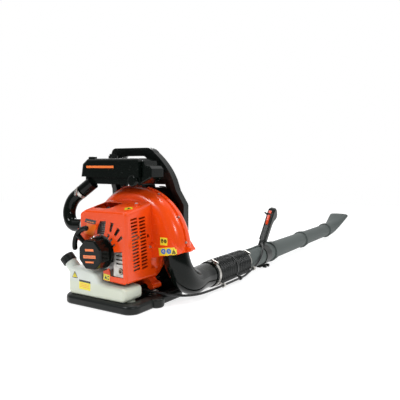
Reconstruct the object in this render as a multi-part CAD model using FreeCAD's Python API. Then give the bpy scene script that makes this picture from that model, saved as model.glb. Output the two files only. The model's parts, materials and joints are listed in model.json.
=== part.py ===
"""Backpack leaf blower, built as separate sub-parts and written one STEP file each.

Frame: millimetres, +Z up, origin on the ground under the middle of the base's width.
+X is the wearer's right, where the air leaves the fan case; +Y is the wearer's front,
the way the blow tube points; the engine stands on the -Y side of the back frame.
"""
import FreeCAD, Part
import math
import os

V = FreeCAD.Vector

# ---- general clearances and walls ------------------------------------------------
FIT = 0.05            # radial clearance of a running shaft
GAP = 0.4             # clearance between parts that move past each other
WALL = 3.0            # moulded cover wall

# ---- base and back frame ---------------------------------------------------------
BASE_W = 291.0        # base width
BASE_FRONT = -130.0   # front edge of the base
BASE_BACK = 150.0     # rear edge of the base
BASE_H = 30.0         # height of the rounded rim
BASE_RIM = 30.0       # width of the rim
BASE_FLOOR = 12.0     # height of the sunk floor
BASE_R = 38.0         # plan corner radius
FRAME_HALF = 154.0    # half width of the back frame
FRAME_LOW = 131.0     # half width beside the elbow, at the bottom
FRAME_Y = 121.0       # front face of the upright panel
FRAME_T = 28.0        # frame depth
FRAME_KNEE = 308.0    # height at which the frame leans forward
FRAME_TOP = 490.0     # top of the carrying handle
FRAME_LEAN = 23.2     # forward lean above the knee, degrees
FRAME_RIM = 20.0      # width of the flange round the panel
FRAME_WEB = 6.0       # thickness of the panel inside the flange
GRIP_BAR = 26.0       # thickness of the carrying handle
HOLE_W = 108.0        # hand hole width
HOLE_Z0 = 402.0       # underside of the hand hole
STRAP_X = 60.0        # shoulder strap slots, upper
STRAP_TOP = 366.0
STRAP_LOW_X = 112.0   # and lower
STRAP_LOW = 66.0
STRAP_W = 44.0        # webbing width
STRAP_T = 8.0         # webbing and its padding
PAD_T = 26.0          # back pad

# ---- vibration dampers -----------------------------------------------------------
SPRING_X = 97.0       # lower springs, each side
SPRING_Y = 34.0
SEAT_Z = 15.0         # top of their seats
BOSS_Z = 52.0         # axis of the lower mounting bosses
BOSS_R = 11.0
UPPER_X = 62.0        # upper springs, each side
UPPER_Z = 292.0
SPRING_WIRE = 3.2

# ---- crank line ------------------------------------------------------------------
CRANK_Z = 170.0       # height of the crankshaft, which lies along Y
CRANK_R = 8.0         # crankshaft radius
STROKE = 28.0         # piston stroke
BORE_R = 23.0         # cylinder bore radius
CYL_Y = -52.0         # bore centre along the crankshaft
ROD_L = 50.0          # connecting rod, eye to eye
DISC_R = 22.0         # crank discs, which pass under the piston at the bottom of its stroke
DISC_T = 9.0          # their thickness
ROD_ROOM = 6.0        # half the gap between them, for the rod's big end
CHAMBER_R = 31.0      # crank chamber
WHEEL_R = 44.0        # flywheel
HEAD_Z = CRANK_Z + 40.0   # foot of the cylinder
CARB_Z = CRANK_Z + 69.0   # centre of the carburettor bore
LEVER_X = -98.0       # throttle lever on the carburettor
PUMP_X = -90.0        # primer pump
CHOKE_X = -113.0      # choke spindle
PRIMER_TRAVEL = 3.0

# ---- fan case --------------------------------------------------------------------
CASE_Y0 = 12.0        # front face
CASE_T = 92.0         # depth of the case
CASE_WALL = 3.6       # case wall
CASE_ROUND = 38.0     # rounding of its outer corners
CASE_X = 15.0         # centre of its top right arc
CASE_R1 = 195.0       # top right arc
CASE_R2 = 178.0       # top left arc
CASE_R3 = 149.0       # bottom left arc
CASE_R4 = 132.0       # bottom right arc
FAN_R = 100.0         # impeller radius
INLET_R = 70.0        # air inlet in the rear half
OUT_LEAN = 14.0       # outlet leans outward, degrees

# ---- duct and blow tube ----------------------------------------------------------
A_R = 39.0            # first pipe outside radius, which the rest of the air path follows
DUCT_R = A_R + 3.0    # elbow outside radius
DUCT_WALL = 3.0
DUCT_ROOM = 2.0       # the frames stay at least this far from it
TUBE_X = 167.0        # blow tube axis
TUBE_Z = A_R + 13.0   # leaves room for the clamp's ears and knobs over the ground
HOSE_Y0 = 276.0       # flexible hose starts here
HOSE_Y1 = 510.0       # and ends here
HOSE_R = A_R + 9.0    # crests of its ribs
HOSE_RIBS = 8         # ribs in each half
HOSE_MID = (HOSE_Y0 + HOSE_Y1) / 2
MID_HALF = 4.0        # half length of the stiff ring in its middle
TAPER = 0.8           # how much a pipe narrows to its front end
A_TIP_R = A_R - TAPER
B_R = A_TIP_R - 1.2
B_TIP_R = B_R - 1.2
C_R = B_TIP_R - TAPER
C_TIP_R = C_R - TAPER
PIPE_WALL = 2.0
A_END = 800.0         # front end of each pipe
B_END = 1205.0
C_END = 1610.0
LAP = 34.0            # how far one pipe runs into the next
TIP_Y = 1880.0        # nozzle mouth
TIP_Z = TUBE_Z + 60.0
TIP_W = 112.0
TIP_H = 26.0
HANDLE_Y = 694.0      # where the control handle stands on the tube
HANDLE_UP = (0.14, 0.41, 0.9)     # its direction
KNOB_R = 6.4          # clamp knobs, which stand on the ground
TRIGGER_PIVOT = (122, 9)          # along and in front of the handle's line
LOCK_PIVOT = (98, -13)
SET_PIVOT = (144, 4)  # throttle set lever

# ---- covers, tank, air cleaner ---------------------------------------------------
COVER_X0 = -85.0
COVER_X1 = 105.0
COVER_Y = -105.0      # front face of the engine cover
COVER_Z0 = 80.0
COVER_TOP = 297.0     # roof height at the front face
COVER_BACK = 44.0     # rear edge of the cover
SLOT_ROWS = 16        # cooling slots in the right side
SLOT_STEP = 10.2
SLOT_H = 6.2
ROOF_RISE = 0.208     # slope of the roof towards the fan case
TANK_Z = 30.0         # underside of the tank body
TANK_FRONT = -118.0
STARTER_R = 44.0
STARTER_Y = -150.0
PULL_ANGLE = 142.5    # direction of the starter pull in the XZ plane, degrees
PULL_TRAVEL = 700.0   # usable rope length
AC_X0 = -157.0
AC_X1 = 92.0
AC_Z0 = 397.0
AC_TOP = 456.0
AC_Y0 = -32.0         # front of the lid
AC_Y1 = 50.0          # its rear, which leaves room for a hand
AC_STEP = 130.0       # right end of the stepped intake block
KNOB_X = -47.0        # lid knob
KNOB_Y = 10.0
ROPE_R = 26.0         # radius at which the rope leaves the reel
NECK_FOOT = (-118, -86, 94)       # filler neck
NECK_TOP = (-146, -88, 122)

# ---- routes ----------------------------------------------------------------------
DUCT_LINE = [(-126, CYL_Y, CARB_Z), (-176, CYL_Y, CARB_Z - 3), (-198, -46, 276), (-186, -38, 320),
             (-150, -28, 348)]
SPOUT = [(-150, -28, 348), (-112, -17, 378)]
CABLE_D = 8.0         # throttle cable conduit


def beside_tube(across, y, up):
    """Return a point beside the blow tube, given in radii of the first pipe."""
    return (TUBE_X + across * A_R, y, TUBE_Z + up * A_R)


CABLE_START = beside_tube(1.4359, HOSE_Y0, -0.8462)
CABLE_MID = beside_tube(1.4103, HOSE_MID, -0.8718)
CABLE_BACK = beside_tube(1.2564, HOSE_Y1, -0.5641)
CABLE_ENGINE = [(LEVER_X, CYL_Y + 26, 264), (LEVER_X, -4, 248), (-97, 1, 200), (-88, -1, 118),
                (-48, -6, 72), (16, -8, 52), (78, -4, 45), (130, 4, 41), (171, 22, 34),
                beside_tube(0.8974, 60, -0.641), beside_tube(1.2821, 112, -0.7692),
                beside_tube(1.4359, 166, -0.7949), beside_tube(1.4615, 222, -0.8205), CABLE_START]
CABLE_HOSE_A = [CABLE_START, beside_tube(1.4205, 308, -0.8615), beside_tube(1.4333, 342, -0.8564),
                CABLE_MID]
CABLE_HOSE_B = [CABLE_MID, beside_tube(1.3949, 427, -0.8821), beside_tube(1.3333, 470, -0.7179),
                CABLE_BACK]
CABLE_TUBE = [CABLE_BACK, beside_tube(1.1795, 550, -0.4103), beside_tube(1.1667, 592, 0.1282),
              beside_tube(0.9231, 632, 0.7692), beside_tube(0.5897, 662, 1.1795),
              beside_tube(0.1538, 686, 1.3333)]


# ---- small helpers ---------------------------------------------------------------
def box(x0, x1, y0, y1, z0, z1):
    """Return a box between two corners."""
    return Part.makeBox(x1 - x0, y1 - y0, z1 - z0, V(x0, y0, z0))


def cyl(radius, start, end):
    """Return a cylinder from one point to another."""
    a = V(*start)
    b = V(*end)
    return Part.makeCylinder(radius, (b - a).Length, a, b - a)


def cone(r0, r1, start, end):
    """Return a cone or taper from one point to another."""
    a = V(*start)
    b = V(*end)
    return Part.makeCone(r0, r1, (b - a).Length, a, b - a)


def ring(outer, inner, start, end):
    """Return a plain tube from one point to another."""
    a = V(*start)
    b = V(*end)
    push = (b - a).normalize()
    return cyl(outer, start, end).cut(cyl(inner, tuple(a - push), tuple(b + push)))


def face_of(points):
    """Return a face from a closed run of points."""
    corners = [V(*p) for p in points]
    return Part.Face(Part.makePolygon(corners + [corners[0]]))


def prism_y(points, y0, y1):
    """Extrude an outline of (x, z) points along Y."""
    return face_of([(x, y0, z) for x, z in points]).extrude(V(0, y1 - y0, 0))


def prism_x(points, x0, x1):
    """Extrude an outline of (y, z) points along X."""
    return face_of([(x0, y, z) for y, z in points]).extrude(V(x1 - x0, 0, 0))


def prism_z(points, z0, z1):
    """Extrude an outline of (x, y) points along Z."""
    return face_of([(x, y, z0) for x, y in points]).extrude(V(0, 0, z1 - z0))


def soften(shape, radius, keep):
    """Fillet the edges whose middle passes the test keep(x, y, z)."""
    chosen = []
    for edge in shape.Edges:
        mid = edge.valueAt((edge.FirstParameter + edge.LastParameter) / 2)
        if keep(mid.x, mid.y, mid.z):
            chosen.append(edge)
    return shape.makeFillet(radius, chosen)


def pill_z(x0, x1, y0, y1, z0, z1, radius):
    """Return a box with its four upright edges rounded."""
    block = box(x0, x1, y0, y1, z0, z1)
    return soften(block, radius, lambda x, y, z: abs(z - (z0 + z1) / 2) < 0.01)


def soft_box(x0, x1, y0, y1, z0, z1, radius):
    """Return a box with every edge rounded."""
    block = box(x0, x1, y0, y1, z0, z1)
    return block.makeFillet(radius, block.Edges)


def fuse(*shapes):
    """Join shapes into one solid and merge their flush faces."""
    return shapes[0].multiFuse(list(shapes[1:])).removeSplitter()


def cut(shape, *tools):
    """Take tools away from a shape."""
    return shape.cut(list(tools))


def turned(shape, angle, at, axis):
    """Return a copy turned about a line."""
    copy = shape.copy()
    copy.rotate(V(*at), V(*axis), angle)
    return copy


def mirrored(shape):
    """Return the shape's mirror image across the middle plane."""
    return shape.mirror(V(0, 0, 0), V(1, 0, 0))


def mix(a, b, t):
    """Return the point a share t of the way from a to b."""
    return tuple(p + (q - p) * t for p, q in zip(a, b))


def rounded_path(points, shares=None):
    """Return a wire of straight runs joined by tangent arcs, and the arcs' radii."""
    spots = [V(*p) for p in points]
    shares = shares or [0.45] * (len(points) - 2)
    edges = []
    radii = []
    here = spots[0]
    for i in range(1, len(spots) - 1):
        back = spots[i - 1] - spots[i]
        ahead = spots[i + 1] - spots[i]
        half_turn = (math.pi - back.getAngle(ahead)) / 2
        reach = shares[i - 1] * min(back.Length, ahead.Length)
        radii.append(reach / math.tan(half_turn))
        start = spots[i] + back.normalize() * reach
        end = spots[i] + ahead.normalize() * reach
        centre_way = (back + ahead).normalize()
        inner = radii[-1] * (1 / math.cos(half_turn) - 1)
        edges.append(Part.LineSegment(here, start).toShape())
        edges.append(Part.Arc(start, spots[i] + centre_way * inner, end).toShape())
        here = end
    edges.append(Part.LineSegment(here, spots[-1]).toShape())
    return Part.Wire(edges), radii


def tube_along(name, points, diameter):
    """Return a solid round tube along a path, and print its radii and volume."""
    path, radii = rounded_path(points)
    start = V(*points[0])
    way = V(*points[1]) - start
    section = Part.Wire([Part.makeCircle(diameter / 2, start, way)])
    solid = path.makePipeShell([section], True, False)
    share = solid.Volume / (math.pi * diameter ** 2 / 4 * path.Length)
    print(name, "radii", [round(r) for r in radii], "length", round(path.Length), "volume", round(share, 3))
    return solid


def screws(spots, way, head_r, head_h, shank_r, shank_l):
    """Return button head screws whose heads stand out along way from each spot."""
    push = V(*way).normalize()
    made = []
    for spot in spots:
        foot = V(*spot)
        head = Part.makeCylinder(head_r, head_h, foot, push)
        socket = Part.makeCylinder(head_r * 0.45, head_h * 0.6, foot + push * head_h * 0.4, push)
        shank = Part.makeCylinder(shank_r, shank_l, foot - push * shank_l, push)
        made.append(head.cut(socket).fuse(shank))
    return made


def save(name, *shapes):
    """Write one sub-part."""
    shape = shapes[0] if len(shapes) == 1 else Part.makeCompound(list(shapes))
    shape.exportStep("parts/%s.step" % name)


# ---- base and back frame ---------------------------------------------------------
def base_frame():
    """Moulded base: fat rounded rim, sunk floor, spring seats."""
    half = BASE_W / 2
    body = pill_z(-half, half, BASE_FRONT, BASE_BACK, 0, BASE_H, BASE_R)
    body = soften(body, 12, lambda x, y, z: z > BASE_H - 0.1)
    body = soften(body, 8, lambda x, y, z: z < 0.1)
    inner = pill_z(-half + BASE_RIM, half - BASE_RIM, BASE_FRONT + BASE_RIM, BASE_BACK - BASE_RIM,
                   BASE_FLOOR, BASE_H + 1, BASE_R - BASE_RIM / 2)
    body = body.cut(inner)
    for side in (-1, 1):
        lobe = cyl(24, (side * (half - 6), -8, 0), (side * (half - 6), -8, BASE_H))
        lobe = lobe.makeFillet(8, lobe.Edges[:1] + lobe.Edges[2:])
        body = body.fuse(lobe)
        x = side * SPRING_X
        body = body.fuse(cyl(19, (x, SPRING_Y, BASE_FLOOR - 1), (x, SPRING_Y, SEAT_Z)))
    for x in (-60, 0, 60):
        body = body.fuse(box(x - 2, x + 2, 5, BASE_BACK - BASE_RIM + 1, BASE_FLOOR - 1, BASE_FLOOR + 8))
    return body.removeSplitter()


def frame_outline(inset):
    """Return the back frame's outline face, moved in by inset."""
    side = FRAME_HALF - inset
    waist = 137 - inset
    floor = BASE_H + inset
    top = FRAME_TOP - inset
    half = [V(side, 0, FRAME_KNEE - 6), V(waist, 0, 352), V(waist - 2, 0, 386)]
    shoulder_mid = V(119 - inset * 0.9, 0, 435 - inset * 0.4)
    shoulder = Part.Arc(half[2], shoulder_mid, V(90 - inset * 0.7, 0, 474 - inset))
    crown = Part.Arc(shoulder.EndPoint, V(81 - inset * 0.7, 0, 484.5 - inset), V(66 - inset * 0.6, 0, top))
    low = FRAME_LOW - inset
    right = [Part.LineSegment(V(low, 0, floor), V(low, 0, 112)),
             Part.LineSegment(V(low, 0, 112), V(side, 0, 146)),
             Part.LineSegment(V(side, 0, 146), half[0]), Part.LineSegment(half[0], half[1]),
             Part.LineSegment(half[1], half[2]), shoulder, crown]
    edges = [piece.toShape() for piece in right]
    left = [edge.mirror(V(0, 0, 0), V(1, 0, 0)) for edge in edges]
    roof = Part.LineSegment(crown.EndPoint, V(-crown.EndPoint.x, 0, top)).toShape()
    floor_edge = Part.LineSegment(V(-low, 0, floor), V(low, 0, floor)).toShape()
    wire = Part.Wire(Part.__sortEdges__(edges + [roof] + left + [floor_edge]))
    return Part.Face(wire)


def frame_side(front, back, extra):
    """Return the frame's bent side profile between two depths, 600 mm wide."""
    lean = math.tan(math.radians(FRAME_LEAN))
    rise = FRAME_TOP + extra - FRAME_KNEE
    points = [(front, 0), (front, FRAME_KNEE), (front - rise * lean, FRAME_TOP + extra),
              (back - rise * lean, FRAME_TOP + extra), (back, FRAME_KNEE), (back, 0)]
    return prism_x(points, -300, 300)


def lean_y(y, z):
    """Return the depth y carried up the leaning part of the frame."""
    return y - max(0.0, z - FRAME_KNEE) * math.tan(math.radians(FRAME_LEAN))


def back_frame():
    """Back panel with a flange all round, a hand hole and strap slots."""
    reach = V(0, 600, 0)
    outer = frame_outline(0)
    outer.translate(V(0, -200, 0))
    body = outer.extrude(reach).common(frame_side(FRAME_Y, FRAME_Y + FRAME_T, 5))
    inner = frame_outline(FRAME_RIM)
    inner.translate(V(0, -200, 0))
    pocket = inner.extrude(reach).common(frame_side(FRAME_Y - 20, FRAME_Y + FRAME_T - FRAME_WEB, 5))
    pocket = pocket.common(box(-300, 300, -300, 300, 0, HOLE_Z0 - 12))
    hole = soften(box(-HOLE_W / 2, HOLE_W / 2, -100, 300, HOLE_Z0, FRAME_TOP - GRIP_BAR), 14,
                  lambda x, y, z: abs(y - 100) < 0.1)
    body = body.cut([pocket, hole])
    for z in (95, 160, 225):
        rib = box(-FRAME_LOW + 8, FRAME_LOW - 8, FRAME_Y + 10, FRAME_Y + FRAME_T - 1, z, z + 4)
        body = body.fuse(rib)
    slots = []
    for side in (-1, 1):
        slots.append(box(side * STRAP_X - 24, side * STRAP_X + 24, 0, 300, STRAP_TOP - 5, STRAP_TOP + 5))
        slots.append(box(side * STRAP_LOW_X - 16, side * STRAP_LOW_X + 16, 0, 300, STRAP_LOW, STRAP_LOW + 8))
    return body.cut(slots).removeSplitter()


def back_pad():
    """Cushion against the wearer's back, a plain closed solid."""
    y = FRAME_Y + FRAME_T + 0.3
    pad = box(-105, 105, y, y + PAD_T, 112, 300)
    return pad.makeFillet(10, pad.Edges)


def shoulder_strap(side):
    """Shoulder strap: a flat band that bows out behind the frame."""
    y = FRAME_Y + FRAME_T
    x0 = side * STRAP_X
    x1 = side * STRAP_LOW_X
    top = (x0, lean_y(y, STRAP_TOP) + 4, STRAP_TOP - 2)
    low = (x1, y + 7, STRAP_LOW + 4)
    points = [top, (x0 * 1.05, y + 46, STRAP_TOP - 26), (x0 * 1.2, y + 62, 270),
              (x0 * 1.45, y + 60, 190), (x1 * 0.95, y + 44, 120), low]
    path, _ = rounded_path(points)
    way = V(*points[1]) - V(*points[0])
    across = V(1, 0, 0)
    thick = way.cross(across).normalize() * (STRAP_T / 2)
    middle = V(*top)
    wide = across * (STRAP_W / 2)
    corners = [middle - wide - thick, middle + wide - thick, middle + wide + thick, middle - wide + thick]
    section = Part.makePolygon(corners + [corners[0]])
    return path.makePipeShell([section], True, False)


def coil_spring(radius, wire, height, turns, at, tip):
    """Return a compression spring of round wire, in quarter turn arcs, tipped about X."""
    spots = []
    for i in range(turns * 8 + 1):
        angle = i * math.pi / 4
        spots.append(V(radius * math.cos(angle), radius * math.sin(angle), height * i / (turns * 8)))
    arcs = [Part.Arc(*spots[i:i + 3]).toShape() for i in range(0, turns * 8, 2)]
    section = Part.Wire([Part.makeCircle(wire / 2, spots[0], arcs[0].tangentAt(0))])
    spring = Part.Wire(arcs).makePipeShell([section], True, False)
    spring.rotate(V(0, 0, 0), V(1, 0, 0), tip)
    spring.translate(V(*at))
    return spring


def damper_springs():
    """Four springs that carry the engine and fan case on the frame."""
    wire = SPRING_WIRE
    length = BOSS_Z - BOSS_R - SEAT_Z
    made = []
    for side in (-1, 1):
        foot = (side * SPRING_X, SPRING_Y, SEAT_Z + wire / 2)
        made.append(coil_spring(13, wire, length - wire, 4, foot, 0))
    gap = FRAME_Y + FRAME_T - FRAME_WEB - (CASE_Y0 + CASE_T + 6)
    for side in (-1, 1):
        foot = (side * UPPER_X, CASE_Y0 + CASE_T + 6 + wire / 2, UPPER_Z)
        made.append(coil_spring(11, wire, gap - wire, 4, foot, -90))
    return made


# ---- fan case --------------------------------------------------------------------
def case_outline(inset):
    """Return the volute outline in XZ as a face at y = 0, moved in by inset."""
    c1 = (CASE_X, CRANK_Z)
    c2 = (CASE_X, CRANK_Z + CASE_R1 - CASE_R2)
    c3 = (CASE_X - CASE_R2 + CASE_R3, c2[1])
    c4 = (c3[0], c2[1] - CASE_R3 + CASE_R4)

    def at(centre, radius, degrees):
        a = math.radians(degrees)
        return V(centre[0] + radius * math.cos(a), 0, centre[1] + radius * math.sin(a))

    def arc(centre, radius, a0, a1):
        r = radius - inset
        return Part.Arc(at(centre, r, a0), at(centre, r, (a0 + a1) / 2), at(centre, r, a1))

    arcs = [arc(c1, CASE_R1, 0, 90), arc(c2, CASE_R2, 90, 180), arc(c3, CASE_R3, 180, 270)]
    last = arc(c4, CASE_R4, 270, 350)
    start = arcs[0].StartPoint
    mouth = V(CASE_X + CASE_R1 + 1.5 - inset, 0, CRANK_Z - 2)
    edges = [Part.LineSegment(mouth, start)] + arcs + [last]
    edges.append(Part.LineSegment(last.EndPoint, mouth))
    return Part.Face(Part.Wire([piece.toShape() for piece in edges]))


def outlet_frame():
    """Return the outlet's centre and its direction."""
    lean = math.radians(OUT_LEAN)
    down = V(math.sin(lean), 0, -math.cos(lean))
    centre = V(CASE_X + CASE_R1 - 45, CASE_Y0 + CASE_T / 2, CRANK_Z - 13)
    return centre, down


def case_hollow():
    """Return the air space inside the fan case."""
    face = case_outline(CASE_WALL)
    face.translate(V(0, CASE_Y0 + CASE_WALL, 0))
    space = face.extrude(V(0, CASE_T - 2 * CASE_WALL, 0))
    y0 = CASE_Y0 + CASE_WALL + 0.1
    y1 = CASE_Y0 + CASE_T - CASE_WALL - 0.1
    arcs_only = outer_rim_test()
    return soften(space, CASE_ROUND - CASE_WALL, lambda x, y, z: (y < y0 or y > y1) and arcs_only(x, z))


def outer_rim_test():
    """Return a test that is true on the case's outer arcs and false at its mouth."""
    def test(x, z):
        return not (x > 90 and z < CRANK_Z + 2)
    return test


def fan_case():
    """Return the whole fan case before it is split in two."""
    face = case_outline(0)
    face.translate(V(0, CASE_Y0, 0))
    body = face.extrude(V(0, CASE_T, 0))
    on_arc = outer_rim_test()
    body = soften(body, CASE_ROUND, lambda x, y, z: abs(y - CASE_Y0 - CASE_T / 2) > CASE_T / 2 - 0.1
                  and on_arc(x, z))
    flange_face = case_outline(-5)
    flange_face.translate(V(0, CASE_Y0 + CASE_T / 2 - 6, 0))
    flange = flange_face.extrude(V(0, 12, 0))
    centre, down = outlet_frame()
    body = body.fuse(flange)
    for side in (-1, 1):
        x = side * SPRING_X
        lug = cyl(BOSS_R, (x, CASE_Y0 + 4, BOSS_Z), (x, CASE_Y0 + CASE_T / 2, BOSS_Z))
        arm_x = side * (SPRING_X - 40)
        arm = prism_y([(x, BOSS_Z - 8), (x, BOSS_Z + 8), (arm_x, BOSS_Z + 46), (arm_x, BOSS_Z + 10)],
                      CASE_Y0 + 12, CASE_Y0 + CASE_T / 2)
        body = body.fuse([lug, arm])
        pad = cyl(16, (side * UPPER_X, CASE_Y0 + CASE_T - 20, UPPER_Z),
                  (side * UPPER_X, CASE_Y0 + CASE_T + 6, UPPER_Z))
        body = body.fuse(pad)
    ear = cyl(8, (CASE_X + CASE_R1 + 9, CASE_Y0 + CASE_T / 2 - 6, CRANK_Z + 6),
              (CASE_X + CASE_R1 + 9, CASE_Y0 + CASE_T / 2 + 6, CRANK_Z + 6))
    body = body.fuse(ear)
    seat = cyl(DUCT_R + 0.05, tuple(centre - down * 22), tuple(centre + down * 40))
    inlet = cyl(INLET_R, (0, CASE_Y0 + CASE_T - 30, CRANK_Z), (0, CASE_Y0 + CASE_T + 1, CRANK_Z))
    shaft_hole = cyl(20, (0, CASE_Y0 - 1, CRANK_Z), (0, CASE_Y0 + 10, CRANK_Z))
    screw_holes = [cyl(2.5, (x, CASE_Y0, z), (x, CASE_Y0 + CASE_T, z)) for x, z in case_screw_spots()]
    return body.cut([case_hollow(), seat, inlet, shaft_hole] + screw_holes)


def case_screw_spots():
    """Return the (x, z) places of the screws round the case."""
    spots = []
    for centre, radius, angles in (((CASE_X, CRANK_Z), CASE_R1, (8, 32, 62, 88)),
                                   ((CASE_X, CRANK_Z + CASE_R1 - CASE_R2), CASE_R2, (122, 155))):
        for degrees in angles:
            a = math.radians(degrees)
            spots.append((centre[0] + (radius + 0.6) * math.cos(a), centre[1] + (radius + 0.6) * math.sin(a)))
    return spots


def case_half(whole, rear):
    """Return one half of the fan case."""
    middle = CASE_Y0 + CASE_T / 2
    if rear:
        return whole.common(box(-400, 400, middle, 400, -100, 500))
    return whole.common(box(-400, 400, -200, middle, -100, 500))


def inlet_guard():
    """Grille over the air inlet: rings joined by spokes."""
    y0 = CASE_Y0 + CASE_T + 0.0
    parts = [ring(INLET_R + 8, INLET_R - 1, (0, y0, CRANK_Z), (0, y0 + 4, CRANK_Z))]
    for radius in (18, 35, 52):
        parts.append(ring(radius + 1.5, radius - 1.5, (0, y0, CRANK_Z), (0, y0 + 4, CRANK_Z)))
    for i in range(8):
        spoke = box(16, INLET_R + 1, y0, y0 + 4, CRANK_Z - 1.5, CRANK_Z + 1.5)
        parts.append(turned(spoke, i * 45, (0, y0, CRANK_Z), (0, 1, 0)))
    return fuse(*parts)


def impeller():
    """Fan wheel: hub, back plate, curved blades and a shroud ring."""
    y0 = CASE_Y0 + 16
    y1 = y0 + 46
    hub = cyl(19, (0, y0, CRANK_Z), (0, y1 - 14, CRANK_Z))
    plate = cyl(FAN_R, (0, y0, CRANK_Z), (0, y0 + 3, CRANK_Z))
    parts = [hub, plate, ring(FAN_R, FAN_R - 26, (0, y1 - 3, CRANK_Z), (0, y1, CRANK_Z))]
    sector = ring(46, 43.5, (0, y0 + 1, 0), (0, y1 - 1, 0)).common(box(-60, 60, y0, y1, 0, 60))
    sector.translate(V(FAN_R - 43.6, 0, -14 + CRANK_Z))
    sector = sector.common(cyl(FAN_R - 0.5, (0, y0, CRANK_Z), (0, y1, CRANK_Z)))
    sector = sector.cut(cyl(44, (0, y0, CRANK_Z), (0, y1, CRANK_Z)))
    blades = [turned(sector, i * 30, (0, 0, CRANK_Z), (0, 1, 0)) for i in range(12)]
    wheel = parts[0].multiFuse(parts[1:] + blades)
    return wheel.cut(cyl(CRANK_R, (0, y0 - 1, CRANK_Z), (0, y1 + 1, CRANK_Z)))


# ---- engine ----------------------------------------------------------------------
def crankcase():
    """Crankcase with its crank chamber and bearing bores."""
    body = box(-46, 46, -88, -10, CRANK_Z - 52, CRANK_Z + 40)
    body = soften(body, 16, lambda x, y, z: abs(y + 49) < 1 and z < CRANK_Z)
    neck = cyl(26, (0, -11, CRANK_Z), (0, CASE_Y0, CRANK_Z))
    arm = box(-40, 40, -12, CASE_Y0, CRANK_Z - 46, CRANK_Z - 28)
    arm_top = box(-40, 40, -12, CASE_Y0, CRANK_Z + 28, CRANK_Z + 39)
    body = body.fuse([neck, arm, arm_top])
    chamber = cyl(CHAMBER_R, (0, CYL_Y - 16, CRANK_Z), (0, CYL_Y + 16, CRANK_Z))
    well = cyl(BORE_R, (0, CYL_Y, CRANK_Z), (0, CYL_Y, CRANK_Z + 41))
    bearings = cyl(CRANK_R + FIT, (0, -90, CRANK_Z), (0, CASE_Y0 + 1, CRANK_Z))
    return body.cut([chamber, well, bearings])


def cylinder():
    """Finned cylinder with its bore, ports and plug hole."""
    z0 = HEAD_Z
    parts = [cyl(BORE_R + 6, (0, CYL_Y, z0), (0, CYL_Y, z0 + 62)),
             box(-34, 34, CYL_Y - 34, CYL_Y + 30, z0, z0 + 6)]
    for i in range(8):
        z = z0 + 13 + i * 6.4
        fin = pill_z(-42, 42, CYL_Y - 40, CYL_Y + 36, z, z + 2, 14)
        parts.append(fin)
    parts.append(box(-50, -24, CYL_Y - 18, CYL_Y + 18, z0 + 14, z0 + 44))
    parts.append(box(24, 48, CYL_Y - 18, CYL_Y + 18, z0 + 10, z0 + 36))
    body = parts[0].multiFuse(parts[1:])
    bore = cyl(BORE_R, (0, CYL_Y, z0 - 1), (0, CYL_Y, z0 + 54))
    intake = cyl(11, (-60, CYL_Y, z0 + 29), (-BORE_R + 4, CYL_Y, z0 + 29))
    exhaust = cyl(10, (60, CYL_Y, z0 + 23), (BORE_R - 4, CYL_Y, z0 + 23))
    plug = cyl(6, (0, CYL_Y, z0 + 50), (0, CYL_Y, z0 + 70))
    return body.cut([bore, intake, exhaust, plug])


def piston():
    """Piston, its pin and the connecting rod with the crankpin, at top dead centre."""
    pin_z = CRANK_Z + STROKE / 2 + ROD_L
    body = cyl(BORE_R - FIT, (0, CYL_Y, pin_z - 12), (0, CYL_Y, pin_z + 16))
    body = body.cut(cyl(BORE_R - 5, (0, CYL_Y, pin_z - 13), (0, CYL_Y, pin_z + 10)))
    rod = box(-4, 4, CYL_Y - 3, CYL_Y + 3, pin_z - ROD_L, pin_z)
    eye = cyl(8, (0, CYL_Y - 4.5, pin_z), (0, CYL_Y + 4.5, pin_z))
    big = cyl(11, (0, CYL_Y - 5.5, pin_z - ROD_L), (0, CYL_Y + 5.5, pin_z - ROD_L))
    pin = cyl(4.5, (0, CYL_Y - BORE_R + 3, pin_z), (0, CYL_Y + BORE_R - 3, pin_z))
    return fuse(body, rod, eye, big, pin)


def crankshaft():
    """Two crank discs with their shafts; the crankpin stays on the rod."""
    outer = ROD_ROOM + DISC_T
    front = cyl(CRANK_R, (0, STARTER_Y + 34, CRANK_Z), (0, CYL_Y - ROD_ROOM, CRANK_Z))
    front = front.fuse(cyl(DISC_R, (0, CYL_Y - outer, CRANK_Z), (0, CYL_Y - ROD_ROOM, CRANK_Z)))
    rear = cyl(CRANK_R, (0, CYL_Y + ROD_ROOM, CRANK_Z), (0, CASE_Y0 + 62, CRANK_Z))
    rear = rear.fuse(cyl(DISC_R, (0, CYL_Y + ROD_ROOM, CRANK_Z), (0, CYL_Y + outer, CRANK_Z)))
    nut = Part.Face(Part.makePolygon([V(13 * math.cos(math.radians(a)), CASE_Y0 + 48,
                                        CRANK_Z + 13 * math.sin(math.radians(a)))
                                      for a in range(0, 361, 60)])).extrude(V(0, 12, 0))
    return front, rear.fuse(nut)


def flywheel():
    """Flywheel with its cooling vanes and the starter cup."""
    body = cyl(WHEEL_R, (0, -97, CRANK_Z), (0, -91, CRANK_Z))
    rim = ring(WHEEL_R, WHEEL_R - 6, (0, -99, CRANK_Z), (0, -91, CRANK_Z))
    vanes = [turned(box(20, 37, -99, -96, CRANK_Z - 1.2, CRANK_Z + 1.2), i * 30, (0, 0, CRANK_Z), (0, 1, 0))
             for i in range(12)]
    cup = ring(17, 13, (0, -104, CRANK_Z), (0, -96, CRANK_Z))
    body = body.multiFuse([rim, cup] + vanes)
    return body.cut(cyl(CRANK_R, (0, -110, CRANK_Z), (0, -80, CRANK_Z)))


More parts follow.
